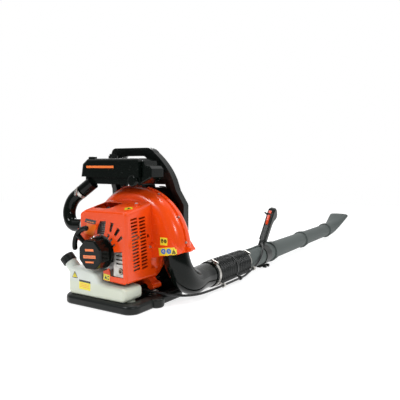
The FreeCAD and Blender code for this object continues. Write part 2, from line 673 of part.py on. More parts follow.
def spark_plug():
    """Spark plug: thread, hexagon and insulator."""
    z = HEAD_Z + 54
    thread = cyl(6, (0, CYL_Y, z - 3), (0, CYL_Y, z + 8))
    hexagon = Part.Face(Part.makePolygon([V(10 * math.cos(math.radians(a)),
                                            CYL_Y + 10 * math.sin(math.radians(a)), z + 8)
                                          for a in range(0, 361, 60)])).extrude(V(0, 0, 7))
    nose = cone(5, 3.5, (0, CYL_Y, z + 15), (0, CYL_Y, z + 24))
    return fuse(thread, hexagon, nose)


def plug_cap():
    """Rubber plug cap, bent to the left, with the start of its lead."""
    z = HEAD_Z + 69
    collar = ring(11, 5.6, (0, CYL_Y, z + 0.2), (0, CYL_Y, z + 10))
    dome = cyl(11, (0, CYL_Y, z + 10), (0, CYL_Y, z + 20))
    bend = cyl(8, (0, CYL_Y, z + 12), (-26, CYL_Y + 14, z + 17))
    bore = cyl(5.6, (0, CYL_Y, z - 1), (0, CYL_Y, z + 9.6))
    return fuse(collar, dome, bend).cut(bore)


def ignition_lead():
    """High tension lead from the coil to the plug cap."""
    z = HEAD_Z + 69
    points = [(-26, CYL_Y + 14, z + 17), (-44, -24, z + 14), (-58, -12, z - 16),
              (-61, -9, z - 54), (-61, -22, CRANK_Z + 15), (-61, -48.6, CRANK_Z + 2)]
    return tube_along("ignition_lead", points, 6)


def ignition_coil():
    """Ignition coil on the crankcase's left side."""
    core = box(-62, -46, -82, -62, CRANK_Z - 12, CRANK_Z + 4)
    block = soft_box(-70, -52, -80, -50, CRANK_Z - 10, CRANK_Z + 11, 3)
    return core.fuse(block)


def muffler():
    """Muffler box on the right side with its inlet pipe."""
    body = soft_box(56, 98, -94, -22, 96, 236, 9)
    neck = box(48, 58, CYL_Y - 17, CYL_Y + 17, CRANK_Z + 51, CRANK_Z + 75)
    seam = box(74, 77, -96, -20, 94, 238)
    body = fuse(body, neck, seam)
    pipe = cyl(8, (78, -110, 120), (78, -92, 120)).cut(cyl(6, (78, -111, 120), (78, -96, 120)))
    shorten = box(0, 200, -200, -103, 0, 300)
    hollow = soft_box(59, 95, -91, -25, 99, 233, 6)
    port = cyl(10, (40, CYL_Y, CRANK_Z + 63), (62, CYL_Y, CRANK_Z + 63))
    return body.cut([hollow, port]).fuse(pipe.cut(shorten))


def muffler_guard():
    """Pressed heat shield in front of the muffler."""
    plate = box(50, 102, -100.5, -99, 92, 200)
    fold = box(50, 51.5, -100.5, -84, 92, 200)
    slots = [box(60, 92, -102, -97, z, z + 5) for z in range(140, 196, 12)]
    hole = cyl(10, (78, -103, 120), (78, -97, 120))
    return cut(plate.fuse(fold), hole, *slots)


def carburettor():
    """Carburettor block with its insulator and through bore."""
    z = CARB_Z
    body = soft_box(-116, -70, CYL_Y - 24, CYL_Y + 16, z - 20, z + 18, 4)
    plate = box(-71, -50, CYL_Y - 20, CYL_Y + 18, z - 16, z + 16)
    flange = cyl(16, (-126, CYL_Y, z), (-114, CYL_Y, z))
    pump = cyl(13, (PUMP_X, CYL_Y - 24, z - 4), (PUMP_X, CYL_Y - 32, z - 4))
    body = fuse(body, plate, flange, pump)
    recess = cyl(11 + GAP, (PUMP_X, CYL_Y - 33, z - 4), (PUMP_X, CYL_Y - 31 + PRIMER_TRAVEL, z - 4))
    bore = cyl(10, (-130, CYL_Y, z), (-40, CYL_Y, z))
    spindle = cyl(3 + FIT, (LEVER_X, CYL_Y, z + 11), (LEVER_X, CYL_Y, z + 40))
    choke = cyl(3 + FIT, (CHOKE_X, CYL_Y - 40, z - 10), (CHOKE_X, CYL_Y - 14, z - 10))
    return body.cut([bore, recess, spindle, choke])


def carb_lever():
    """Throttle lever on top of the carburettor."""
    z = CARB_Z
    x = LEVER_X
    pin = cyl(3, (x, CYL_Y, z + 11), (x, CYL_Y, z + 25))
    arm = pill_z(x - 4, x + 4, CYL_Y - 4, CYL_Y + 24, z + 18 + GAP, z + 21, 3.5)
    stud = cyl(2.5, (x, CYL_Y + 20, z + 20), (x, CYL_Y + 20, z + 27))
    return fuse(pin, arm, stud)


def choke_lever():
    """Choke lever with a paddle, on the carburettor's front."""
    z = CARB_Z - 10
    y = CYL_Y - 24
    pin = cyl(3, (CHOKE_X, y + 10, z), (CHOKE_X, y - 7, z))
    arm = box(CHOKE_X - 4, CHOKE_X + 4, y - 7, y - GAP, z - 24, z + 4)
    paddle = soft_box(CHOKE_X - 10, CHOKE_X + 10, y - 12, y - 5, z - 34, z - 20, 2.5)
    return fuse(pin, arm, paddle)


def primer_bulb():
    """Primer bulb on the carburettor pump."""
    z = CARB_Z - 4
    y = CYL_Y - 32 - GAP
    foot = cyl(11, (PUMP_X, y, z), (PUMP_X, y - 3, z))
    bulb = Part.makeSphere(9, V(PUMP_X, y - 3, z))
    bulb = bulb.common(box(-120, -70, y - 30, y - 2, z - 20, z + 20))
    return fuse(foot, bulb)


# ---- intake and air cleaner ------------------------------------------------------
def intake_duct():
    """Rubber duct from the air cleaner down to the carburettor."""
    outer = tube_along("intake_duct", DUCT_LINE, 42)
    path, _ = rounded_path(DUCT_LINE)
    section = Part.Wire([Part.makeCircle(17, V(*DUCT_LINE[0]), V(*DUCT_LINE[1]) - V(*DUCT_LINE[0]))])
    return outer.cut(path.makePipeShell([section], True, False))


def intake_clamp():
    """Worm drive clamp round the duct's upper end."""
    a = mix(DUCT_LINE[-2], DUCT_LINE[-1], 0.76)
    b = mix(DUCT_LINE[-2], DUCT_LINE[-1], 0.98)
    band = ring(22.2, 21.05, a, b)
    worm = cyl(4.5, (a[0] + 4, a[1] - 24, a[2] - 6), (b[0] - 2, b[1] - 24, b[2] + 10))
    return fuse(band, worm.cut(cyl(21.1, mix(a, b, -2), mix(a, b, 3))))


def air_cleaner_base():
    """Lower half of the air cleaner: tray, stepped intake block, outlet spout and two feet."""
    front = AC_Y0 + 8
    back = AC_Y1 - 4
    tray = soften(box(AC_X0 + 12, AC_X1, front, back, 374, AC_Z0), 12,
                  lambda x, y, z: abs(z - (374 + AC_Z0) / 2) < 0.1)
    low = prism_y([(AC_X1 - 60, 374), (91, 376), (AC_STEP - 6, 392), (AC_STEP, 398), (AC_STEP, 424),
                   (AC_STEP - 8, 432), (108, 436), (104, 448), (AC_X1 + GAP, 448),
                   (AC_X1 + GAP, AC_Z0), (AC_X1 - 60, AC_Z0)], front + 4, back)
    low = soften(low, 5, lambda x, y, z: (y < front + 4.1 or y > back - 0.1) and x > AC_X1)
    boss = cyl(19, (AC_X1 - 24, AC_Y0 - 4, 386), (AC_X1 - 24, front + 20, 386))
    boss = soften(boss, 6, lambda x, y, z: y < AC_Y0 - 3.9)
    spout = cyl(17, SPOUT[0], SPOUT[1])
    collar = cyl(22, mix(SPOUT[0], SPOUT[1], 0.12), mix(SPOUT[0], SPOUT[1], 1.0))
    body = tray.fuse([low, boss, collar, spout])
    cavity = box(AC_X0 + 16, AC_X1 - 50, front + 4, back - 4, 380, AC_Z0 + 1)
    bore = cyl(13, mix(SPOUT[0], SPOUT[1], -0.1), mix(SPOUT[0], SPOUT[1], 0.95))
    lid_space = box(AC_X0, AC_X1, AC_Y0 - 1, AC_Y1, AC_Z0, AC_Z0 + 30)
    body = body.cut([cavity, bore, lid_space, case_keepout()])
    for x in (-30, 60):
        body = body.fuse(box(x - 8, x + 8, back - 14, back - 2, 345, 376).cut(case_keepout()))
    post = cyl(5, (KNOB_X, KNOB_Y, 379), (KNOB_X, KNOB_Y, AC_TOP - 14))
    return body.fuse(post).removeSplitter()


def case_keepout(room=5):
    """Return the solid outside of the fan case grown by room, used to seat parts on it."""
    face = case_outline(-room)
    face.translate(V(0, CASE_Y0, 0))
    return face.extrude(V(0, CASE_T, 0))


def air_cleaner_cover():
    """Lid of the air cleaner: a long rounded hood with a chamfered left end and a latch."""
    outline = [(AC_X0, AC_Z0), (AC_X1, AC_Z0), (AC_X1, AC_TOP), (AC_X0 + 30, AC_TOP), (AC_X0 + 8, 440)]
    body = prism_y(outline, AC_Y0, AC_Y1)
    body = soften(body, 13, lambda x, y, z: z > 445 or x < AC_X0 + 5 and z > 400)
    inner = prism_y([(AC_X0 + 6, AC_Z0 - 1), (AC_X1 - 4, AC_Z0 - 1), (AC_X1 - 4, AC_TOP - 5),
                     (AC_X0 + 34, AC_TOP - 5), (AC_X0 + 14, 436)], AC_Y0 + 5, AC_Y1 - 5)
    hole = cyl(5 + GAP, (KNOB_X, KNOB_Y, 400), (KNOB_X, KNOB_Y, AC_TOP + 2))
    latch = soft_box(AC_X0 + 32, AC_X0 + 56, AC_Y0 + 8, AC_Y0 + 26, AC_TOP - 12, AC_TOP + 6, 3)
    return body.fuse(latch).cut([inner, hole])


def air_filter():
    """Pleated filter element: a frame with standing folds."""
    x0 = AC_X0 + 18
    x1 = KNOB_X - 12
    front = AC_Y0 + 12
    back = AC_Y1 - 10
    rim = box(x0, x1, front, back, AC_Z0 + 3, AC_Z0 + 7)
    step = (x1 - x0 - 5) / 15
    folds = [box(x0 + 3 + i * step, x0 + 5.4 + i * step, front + 2, back - 2, AC_Z0 + 6.5, AC_Z0 + 29)
             for i in range(15)]
    return rim.multiFuse(folds)


def cover_knob():
    """Round wing knob that holds the lid down."""
    at = (KNOB_X, KNOB_Y)
    neck = cyl(4.5, (*at, AC_TOP + 0.2), (*at, AC_TOP + 3))
    head = cyl(15, (*at, AC_TOP + GAP), (*at, AC_TOP + 9))
    wing = box(KNOB_X - 13, KNOB_X + 13, KNOB_Y - 3, KNOB_Y + 3, AC_TOP + 8, AC_TOP + 15)
    return fuse(neck, head, wing)


# ---- starter ---------------------------------------------------------------------
def starter_housing():
    """Recoil starter cover with a rope guide at its upper left."""
    sides = 8
    flat = STARTER_R / math.cos(math.pi / sides)
    outline = [(flat * math.cos((i + 0.5) * 2 * math.pi / sides),
                CRANK_Z + flat * math.sin((i + 0.5) * 2 * math.pi / sides)) for i in range(sides)]
    body = prism_y(outline, STARTER_Y, COVER_Y)
    body = soften(body, 10, lambda x, y, z: abs(y - (STARTER_Y + COVER_Y) / 2) < 0.1)
    body = soften(body, 5, lambda x, y, z: y < STARTER_Y + 0.1)
    flange = cyl(STARTER_R + 6, (0, COVER_Y - 4, CRANK_Z), (0, COVER_Y + 2, CRANK_Z))
    guide = cyl(8, pull_point(STARTER_R - 10), pull_point(STARTER_R + 6))
    body = body.fuse([flange, guide])
    hollow = cyl(STARTER_R - 5, (0, STARTER_Y + 6, CRANK_Z), (0, COVER_Y + 3, CRANK_Z))
    rope_hole = cyl(3.4, pull_point(20), pull_point(STARTER_R + 8))
    body = body.cut([hollow, rope_hole])
    axle = cyl(5, (0, STARTER_Y + 5, CRANK_Z), (0, STARTER_Y + 26, CRANK_Z))
    legs = [box(-48, -36, COVER_Y + 1, -88, CRANK_Z + s * 18 - 7, CRANK_Z + s * 18 + 7) for s in (-1, 1)]
    legs = legs + [mirrored(leg) for leg in legs]
    wheel_room = cyl(WHEEL_R + GAP * 2, (0, -120, CRANK_Z), (0, -80, CRANK_Z))
    return body.multiFuse([axle] + [leg.cut(wheel_room) for leg in legs])


def pull_point(reach):
    """Return a point on the rope's line, reach mm from the crank axis along the pull."""
    a = math.radians(PULL_ANGLE)
    return (reach * math.cos(a), STARTER_Y + 20, CRANK_Z + reach * math.sin(a))


def starter_pulley():
    """Rope reel of the recoil starter, turning on the housing's axle."""
    y0 = STARTER_Y + 12
    reel = cyl(ROPE_R + 6, (0, y0, CRANK_Z), (0, y0 + 3, CRANK_Z))
    reel = reel.fuse(cyl(ROPE_R - 3, (0, y0, CRANK_Z), (0, y0 + 14, CRANK_Z)))
    reel = reel.fuse(cyl(ROPE_R + 6, (0, y0 + 12, CRANK_Z), (0, y0 + 15, CRANK_Z)))
    rope = Part.makeTorus(ROPE_R - 1.4, 1.9, V(0, y0 + 8, CRANK_Z), V(0, 1, 0))
    reel = reel.fuse(rope)
    dogs = [cyl(3, (s * 9, y0 + 14, CRANK_Z), (s * 9, y0 + 19, CRANK_Z)) for s in (-1, 1)]
    reel = reel.multiFuse(dogs)
    return reel.cut(cyl(5 + FIT, (0, y0 - 1, CRANK_Z), (0, y0 + 30, CRANK_Z)))


def recoil_spring():
    """Flat spiral return spring between the housing and the reel, as stacked turns."""
    y0 = STARTER_Y + 6.2
    turns = [ring(r + 0.5, r - 0.5, (0, y0, CRANK_Z), (0, y0 + 4.6, CRANK_Z)) for r in range(9, 31, 3)]
    bridges = [box(r, r + 3, y0, y0 + 4.6, CRANK_Z - 0.5, CRANK_Z + 0.5) for r in range(9, 28, 3)]
    return turns[0].multiFuse(turns[1:] + bridges)


def starter_rope():
    """Rope from the reel's edge through the guide to the pull handle."""
    return cyl(1.8, pull_point(ROPE_R + 7), pull_point(STARTER_R + 20))


def pull_handle():
    """T-shaped pull handle: an arched bar on a short stem."""
    a = math.radians(PULL_ANGLE)
    way = V(math.cos(a), 0, math.sin(a))
    across = V(-way.z, 0, way.x)
    foot = V(*pull_point(STARTER_R + 7))
    stem_end = foot + way * 34
    stem = Part.makeCone(6.5, 8, 34, foot, way)
    ends = [stem_end - across * 40 - way * 14, stem_end + across * 40 - way * 14]
    arc = Part.Wire([Part.Arc(ends[0], stem_end + way * 3, ends[1]).toShape()])
    section = Part.Wire([Part.makeCircle(8, ends[0], arc.Edges[0].tangentAt(arc.Edges[0].FirstParameter))])
    bar = arc.makePipeShell([section], True, False)
    caps = [Part.makeSphere(7.99, end) for end in ends]
    body = stem.multiFuse([bar] + caps)
    return body.cut(Part.makeCylinder(2.2, 14, foot - way, way))


# ---- fuel ------------------------------------------------------------------------
def fuel_tank():
    """Blow moulded tank: tall left end with a filler neck, low right end."""
    outline = [(-126, TANK_Z), (106, TANK_Z), (106, 72), (40, 74),
               (7, 79), (-8, 106), (-52, 116), (-124, 116)]
    body = prism_y(outline, TANK_FRONT, -34)
    body = soften(body, 14, lambda x, y, z: abs(y + 76) < 0.1)
    body = soften(body, 9, lambda x, y, z: abs(y + 76) > 41 and z > TANK_Z + 1)
    foot = pill_z(-108, 92, BASE_FRONT + BASE_RIM + 1, -38, BASE_FLOOR, TANK_Z + 4,
                  BASE_R - BASE_RIM / 2)
    neck = cyl(20, NECK_FOOT, NECK_TOP)
    mouth = cyl(17, NECK_TOP, mix(NECK_FOOT, NECK_TOP, 1.45))
    body = body.fuse([foot, neck, mouth])
    inner = prism_y([(-122, TANK_Z + 4), (102, TANK_Z + 4), (102, 68), (39, 70), (4, 75),
                     (-11, 102), (-53, 112),
                     (-120, 112)], TANK_FRONT + 4, -38)
    inner = soften(inner, 10, lambda x, y, z: abs(y + 76) < 0.1)
    throat = cyl(14, mix(NECK_FOOT, NECK_TOP, 0.1), mix(NECK_FOOT, NECK_TOP, 1.6))
    gaiter = cyl(3.5, (-60, -60, 100), (-60, -60, 120))
    return body.cut([inner, throat, gaiter])


def fuel_cap():
    """Screwed filler cap with grip ribs."""
    way = [(b - a) / 39.6 for a, b in zip(NECK_FOOT, NECK_TOP)]
    start = mix(NECK_FOOT, NECK_TOP, 1.03)
    end = mix(NECK_FOOT, NECK_TOP, 1.62)
    body = cyl(23, start, end)
    body = body.cut(cyl(17 + GAP, mix(NECK_FOOT, NECK_TOP, 0.9), mix(NECK_FOOT, NECK_TOP, 1.5)))
    notch = cyl(1.6, mix(NECK_FOOT, NECK_TOP, 1.0), mix(NECK_FOOT, NECK_TOP, 1.7))
    side = V(0, 1, 0)
    made = []
    for i in range(18):
        groove = notch.copy()
        groove.translate(side * 23.4)
        groove.rotate(V(*NECK_FOOT), V(*way), i * 20)
        made.append(groove)
    return body.cut(made)


def fuel_line():
    """Fuel hose from the tank's grommet up to the carburettor."""
    points = [(-60, -60, 96), (-60, -60, 130), (-74, -52, 158), (-92, -40, 184), (-96, -44, CRANK_Z + 48.4)]
    return tube_along("fuel_line", points, 5.5)


# ---- engine cover ----------------------------------------------------------------
def roof_z(y):
    """Return the height of the engine cover's roof at a depth."""
    return COVER_TOP + (y - COVER_Y) * ROOF_RISE


def cover_block(inset, drop):
    """Return the cover's outer form, or its hollow, with a roof that rises to the rear."""
    left = COVER_X0 + inset
    right = COVER_X1 - inset
    high = roof_z(COVER_BACK) + 20
    block = prism_y([(left, 196 - drop), (left, high), (right, high), (right, COVER_Z0 - drop),
                     (12, COVER_Z0 + 4 - drop), (12, 160 - drop), (-40, 196 - drop)],
                    COVER_Y + inset, COVER_BACK)
    rise = (COVER_BACK - COVER_Y) * ROOF_RISE
    top = COVER_TOP - inset
    above = prism_x([(COVER_Y, top), (COVER_BACK, top + rise), (COVER_BACK, 500), (COVER_Y, 500)],
                    -200, 200)
    bevel = face_of([(left - 1, COVER_Y, top - 13), (left + 25, COVER_Y, top + 1),
                     (left - 1, COVER_Y, top + 1)])
    bevel = bevel.extrude(V(0, COVER_BACK - COVER_Y, rise))
    return block.cut([above, bevel])


def engine_cover():
    """Engine cover: rounded shell with slots, windows and a starter recess."""
    middle = (COVER_Y + COVER_BACK) / 2
    body = cover_block(0, 0)
    body = soften(body, 13, lambda x, y, z: abs(y - middle) < 1 and (z > 240 or x > COVER_X1 - 1))
    body = soften(body, 8, lambda x, y, z: y < COVER_Y + 0.1
                  and (z > 230 or x > COVER_X1 - 16 or x < COVER_X0 + 9))
    inner = cover_block(WALL, 90)
    inner = soften(inner, 10, lambda x, y, z: abs(y - middle - WALL / 2) < 2
                   and (z > 240 or x > COVER_X1 - 4))
    behind = prism_x([(CASE_Y0, 400), (CASE_Y0, 195), (CASE_Y0 + 4, 190), (COVER_BACK, 60),
                      (COVER_BACK + 1, 0), (200, 0), (200, 400)], -200, 200)
    arch = cyl(STARTER_R + 12, (0, COVER_Y - 1, CRANK_Z), (0, COVER_Y + 30, CRANK_Z))
    body = body.cut([inner, behind, arch, case_keepout(0.5)])
    trough = soften(box(-58, 15, -78, -8, COVER_TOP - 30, COVER_TOP + 40), 14,
                    lambda x, y, z: abs(z - COVER_TOP - 5) < 1)
    intake_gap = box(COVER_X0 - 5, COVER_X0 + 8, CYL_Y - 49, CYL_Y + 36, 180, CRANK_Z + 96)
    body = body.cut([trough, intake_gap] + side_slots() + front_openings())
    lug = cyl(9, (COVER_X1 + 3, 4, CRANK_Z + 12), (COVER_X1 + 3, CASE_Y0, CRANK_Z + 12))
    roof_boss = cyl(7, (80, -28, roof_z(-28) - 3), (80, -28, roof_z(-28) + 4))
    return body.multiFuse([lug, roof_boss])


def side_slots():
    """Return the cooling slots in the cover's right side."""
    made = []
    for row in range(SLOT_ROWS):
        for col in range(2):
            y0 = -86 + col * 38 + row * 0.9
            z = 117 + (SLOT_ROWS - 1 - row) * SLOT_STEP
            slot = box(COVER_X1 - 6, COVER_X1 + 5, y0, y0 + 30, z, z + SLOT_H)
            made.append(turned(slot, 6, (COVER_X1, y0, z), (1, 0, 0)))
    for y in (-50, -4):
        made.append(cyl(5.5, (COVER_X1 - 6, y, 217), (COVER_X1 + 5, y, 217)))
    return made


def front_openings():
    """Return the fan of slots, the breather opening and the muffler window."""
    y0 = COVER_Y - 2
    y1 = COVER_Y + 14
    made = [prism_y([(1, 266), (25, 268), (20, 234), (9, 212), (-14, 216), (-13, 236), (-7, 254)], y0, y1),
            prism_y([(24, 172), (87, 180), (91, 101), (40, 102)], y0, y1)]
    for tip, width in (((50, 264, 41, 236), 13), ((76, 248, 59, 226), 13), ((88, 225, 69, 209), 10),
                       ((36, 229, 24, 203), 9), ((48, 217, 32, 195), 8), ((60, 201, 40, 185), 7)):
        xa, za, xb, zb = tip
        length = math.hypot(xa - xb, za - zb)
        px = (za - zb) / length * width / 2
        pz = (xa - xb) / length * width / 2
        taper = 0.7
        made.append(prism_y([(xa + px, za - pz), (xa - px, za + pz), (xb - px * taper, zb + pz * taper),
                             (xb + px * taper, zb - pz * taper)], y0, y1))
    return made


# ---- duct, hose and blow tube ----------------------------------------------------
def elbow_line():
    """Return the elbow's corner points from the fan case to the hose."""
    centre, down = outlet_frame()
    start = centre - down * 20
    corner = start + down * ((start.z - TUBE_Z) / -down.z)
    turn = V(TUBE_X, HOSE_Y0 - 71, TUBE_Z)
    hose = V(TUBE_X, HOSE_Y0, TUBE_Z)
    return tuple(start), tuple(corner), tuple(turn), tuple(hose)


def elbow_core(radius):
    """Return a solid of the given radius along the elbow's line."""
    points = elbow_line()
    path, _ = rounded_path(points, [0.74, 0.3])
    section = Part.Wire([Part.makeCircle(radius, V(*points[0]), V(*points[1]) - V(*points[0]))])
    return path.makePipeShell([section], True, False)


def elbow_duct():
    """Elbow from the fan case outlet to the flexible hose."""
    shells = [elbow_core(DUCT_R), elbow_core(DUCT_R - DUCT_WALL)]
    cuff = cyl(DUCT_R + 3, (TUBE_X, HOSE_Y0 - 26, TUBE_Z), (TUBE_X, HOSE_Y0, TUBE_Z))
    return shells[0].fuse(cuff).cut(shells[1])


def bellows(y0, y1):
    """Return one half of the ribbed hose, a closed wave turned about its axis."""
    step = (y1 - y0) / HOSE_RIBS
    outer = [(HOSE_R - 5, y0)]
    for i in range(HOSE_RIBS):
        outer.append((HOSE_R, y0 + (i + 0.35) * step))
        outer.append((HOSE_R, y0 + (i + 0.65) * step))
        outer.append((HOSE_R - 5, y0 + (i + 1) * step))
    inner = [(r - 2.0, y) for r, y in reversed(outer)]
    points = [V(TUBE_X + r, y, TUBE_Z) for r, y in outer + inner]
    face = Part.Face(Part.makePolygon(points + [points[0]]))
    return face.revolve(V(TUBE_X, y0, TUBE_Z), V(0, 1, 0), 360)


def hose_ring():
    """Stiff middle ring of the hose, with a clip for the cable."""
    body = ring(HOSE_R, HOSE_R - 7, (TUBE_X, HOSE_MID - MID_HALF, TUBE_Z),
                (TUBE_X, HOSE_MID + MID_HALF, TUBE_Z))
    return body.fuse(cable_clip(HOSE_MID - MID_HALF, HOSE_MID + MID_HALF, HOSE_R, CABLE_MID))


def cable_clip(y0, y1, radius, spot):
    """Return a small clip that ties the cable to the duct."""
    x, _, z = spot
    eye = ring(CABLE_D / 2 + 3.5, CABLE_D / 2 + 0.7, (x, y0, z), (x, y1, z))
    near = math.hypot(x - TUBE_X, z - TUBE_Z)
    ax = TUBE_X + (x - TUBE_X) * (radius - 1.5) / near
    az = TUBE_Z + (z - TUBE_Z) * (radius - 1.5) / near
    arm = cyl(2.5, (ax, (y0 + y1) / 2, az), (x, (y0 + y1) / 2, z))
    return eye.fuse(arm.cut(cyl(CABLE_D / 2 + 0.7, (x, y0 - 1, z), (x, y1 + 1, z))))


def hose_clamp(y, radius, spot):
    """Return a steel band with its worm screw and a cable clip."""
    y0 = y - 6
    y1 = y + 6
    core = cyl(radius, (TUBE_X, y - 20, TUBE_Z), (TUBE_X, y + 20, TUBE_Z))
    band = ring(radius + 1.2, radius, (TUBE_X, y0, TUBE_Z), (TUBE_X, y1, TUBE_Z))
    worm = cyl(5, (TUBE_X + 10, y, TUBE_Z + radius + 5), (TUBE_X + 34, y, TUBE_Z + radius - 4))
    worm = worm.cut(cyl(radius + 0.5, (TUBE_X, y - 20, TUBE_Z), (TUBE_X, y + 20, TUBE_Z)))
    return fuse(band, worm, cable_clip(y0, y1, radius + 1.2, spot)).cut(core)


def pipe(radius, tip_radius, y0, y1, mouth, mouth_r):
    """Return a tapered pipe, with a bell mouth at its near end when mouth is set."""
    straight = y0
    body = cone(radius, tip_radius, (TUBE_X, straight, TUBE_Z), (TUBE_X, y1, TUBE_Z))
    inside = cone(radius - PIPE_WALL, tip_radius - PIPE_WALL, (TUBE_X, straight, TUBE_Z),
                  (TUBE_X, y1, TUBE_Z))
    if not mouth:
        return body.cut(inside)
    bell = cyl(mouth_r + PIPE_WALL + 1, (TUBE_X, y0, TUBE_Z), (TUBE_X, y0 + mouth, TUBE_Z))
    lip = cyl(mouth_r + PIPE_WALL + 4, (TUBE_X, y0, TUBE_Z), (TUBE_X, y0 + 9, TUBE_Z))
    socket = cyl(mouth_r + GAP, (TUBE_X, y0 - 1, TUBE_Z), (TUBE_X, y0 + mouth - 4, TUBE_Z))
    return body.fuse([bell, lip]).cut([inside, socket])


def pipe_a():
    """First pipe, clamped in the hose, with a rib along its top."""
    body = pipe(A_R, A_TIP_R, HOSE_Y1 - 20, A_END, 0, 0)
    rib = box(TUBE_X - 3, TUBE_X + 3, HOSE_Y1 + 14, HANDLE_Y - 26.5, TUBE_Z + A_R - 1, TUBE_Z + A_R + 4)
    return body.fuse(rib)


def pipe_b():
    """Second pipe: bell over the first pipe's end."""
    return pipe(B_R, B_TIP_R, A_END - LAP, B_END, LAP + 6, A_TIP_R)


def pipe_c():
    """Third pipe: bell over the second pipe's end."""
    return pipe(C_R, C_TIP_R, B_END - LAP, C_END, LAP + 6, B_TIP_R)


def nozzle_section(y, z, half_w, half_h, power):
    """Return a closed smooth section: round at power 2, nearly flat at higher powers."""
    points = []
    count = 24
    for i in range(count):
        a = 2 * math.pi * i / count
        c = math.cos(a)
        s = math.sin(a)
        x = half_w * math.copysign(abs(c) ** (2 / power), c)
        v = half_h * math.copysign(abs(s) ** (2 / power), s)
        points.append(V(TUBE_X + x, y, z + v))
    curve = Part.BSplineCurve()
    curve.interpolate(points, PeriodicFlag=True)
    return Part.Wire([curve.toShape()])


def nozzle():
    """Flat nozzle: round socket that spreads and turns up to a wide mouth."""
    start = C_END + 20
    span = TIP_Y - start
    r = C_R + 2
    stations = [(start, TUBE_Z, r, r, 2.0), (start + span * 0.24, TUBE_Z + 4, r + 1, r - 3, 2.1),
                (start + span * 0.52, TUBE_Z + 20, r + 8, 24, 2.4),
                (start + span * 0.78, TUBE_Z + 42, r + 15, 16, 2.8),
                (TIP_Y, TIP_Z, TIP_W / 2, TIP_H / 2, 3.2)]
    outer = Part.makeLoft([nozzle_section(*s) for s in stations], True, False)
    hollow = [nozzle_section(y, z, w - 2, h - 2, p) for y, z, w, h, p in stations]
    inner = Part.makeLoft(hollow, True, False)
    bell = cyl(C_R + 3, (TUBE_X, C_END - LAP, TUBE_Z), (TUBE_X, start, TUBE_Z))
    lip = cyl(C_R + 6, (TUBE_X, C_END - LAP, TUBE_Z), (TUBE_X, C_END - LAP + 9, TUBE_Z))
    bore = cyl(C_TIP_R + GAP, (TUBE_X, C_END - LAP - 1, TUBE_Z), (TUBE_X, C_END + 2, TUBE_Z))
    throat = cyl(C_R - 1.5, (TUBE_X, C_END, TUBE_Z), (TUBE_X, start + 0.5, TUBE_Z))
    return outer.fuse([bell, lip]).cut([inner, bore, throat])


# ---- control handle --------------------------------------------------------------
def handle_point(along, front=0.0, side=0.0):
    """Return a point in the handle's own directions: up the grip, forward, sideways."""
    up = V(*HANDLE_UP).normalize()
    ahead = V(0, 1, 0) - up * up.y
    ahead = ahead.normalize()
    right = ahead.cross(up)
    root = V(TUBE_X, HANDLE_Y, TUBE_Z + A_R - 4)
    spot = root + up * along + ahead * front + right * side
    return (spot.x, spot.y, spot.z)


def handle_axis():
    """Return the sideways direction about which the handle's levers turn."""
    a = V(*handle_point(0, 0, 0))
    b = V(*handle_point(0, 0, 1))
    return b - a


def handle_prism(outline, half):
    """Extrude an outline of (along, front) points across the handle."""
    points = [V(*handle_point(a, f, -half)) for a, f in outline]
    face = Part.Face(Part.makePolygon(points + [points[0]]))
    return face.extrude(handle_axis() * (2 * half))


def handle_clamp():
    """Clamp block round the first pipe, with two ears below."""
    y0 = HANDLE_Y - 26
    y1 = HANDLE_Y + 24
    band = ring(A_R + 3.5, A_R + 0.02, (TUBE_X, y0, TUBE_Z), (TUBE_X, y1, TUBE_Z))
    ears = box(TUBE_X - 9, TUBE_X + 9, y0, y1, 0, TUBE_Z - A_R)
    split = box(TUBE_X - 1.5, TUBE_X + 1.5, y0 - 1, y1 + 1, 2, TUBE_Z - A_R + 4)
    neck = cyl(15, handle_point(-2), handle_point(24))
    bore = cyl(A_R + 0.02, (TUBE_X, y0 - 30, TUBE_Z), (TUBE_X, y1 + 30, TUBE_Z))
    holes = [cyl(3, (TUBE_X - 30, y, KNOB_R), (TUBE_X + 30, y, KNOB_R)) for y in knob_places()]
    return cut(fuse(band, ears, neck), bore, split, *holes)


def knob_places():
    """Return where the two clamp knobs sit along the tube."""
    return (HANDLE_Y - 15, HANDLE_Y + 13)


def clamp_knobs():
    """Two ribbed knobs on their bolts through the clamp's ears."""
    made = []
    for y in knob_places():
        z = KNOB_R
        bolt = cyl(3, (TUBE_X - 12, y, z), (TUBE_X + 18, y, z))
        head = cyl(KNOB_R, (TUBE_X + 17, y, z), (TUBE_X + 32, y, z))
        nut = cyl(4, (TUBE_X - 14, y, z), (TUBE_X - 9, y, z))
        grooves = [turned(cyl(1.2, (TUBE_X + 16, y + KNOB_R + 0.3, z), (TUBE_X + 33, y + KNOB_R + 0.3, z)),
                          (i + 0.5) * 45, (TUBE_X, y, z), (1, 0, 0)) for i in range(8)]
        made.append(fuse(bolt, head, nut).cut(grooves))
    return made


GRIP_OUTLINE = [(24, -17), (24, 15), (58, 14), (104, 14), (122, 19), (138, 34), (150, 36), (164, 28),
                (176, 12), (178, -4), (168, -18), (150, -21), (112, -19), (70, -17)]


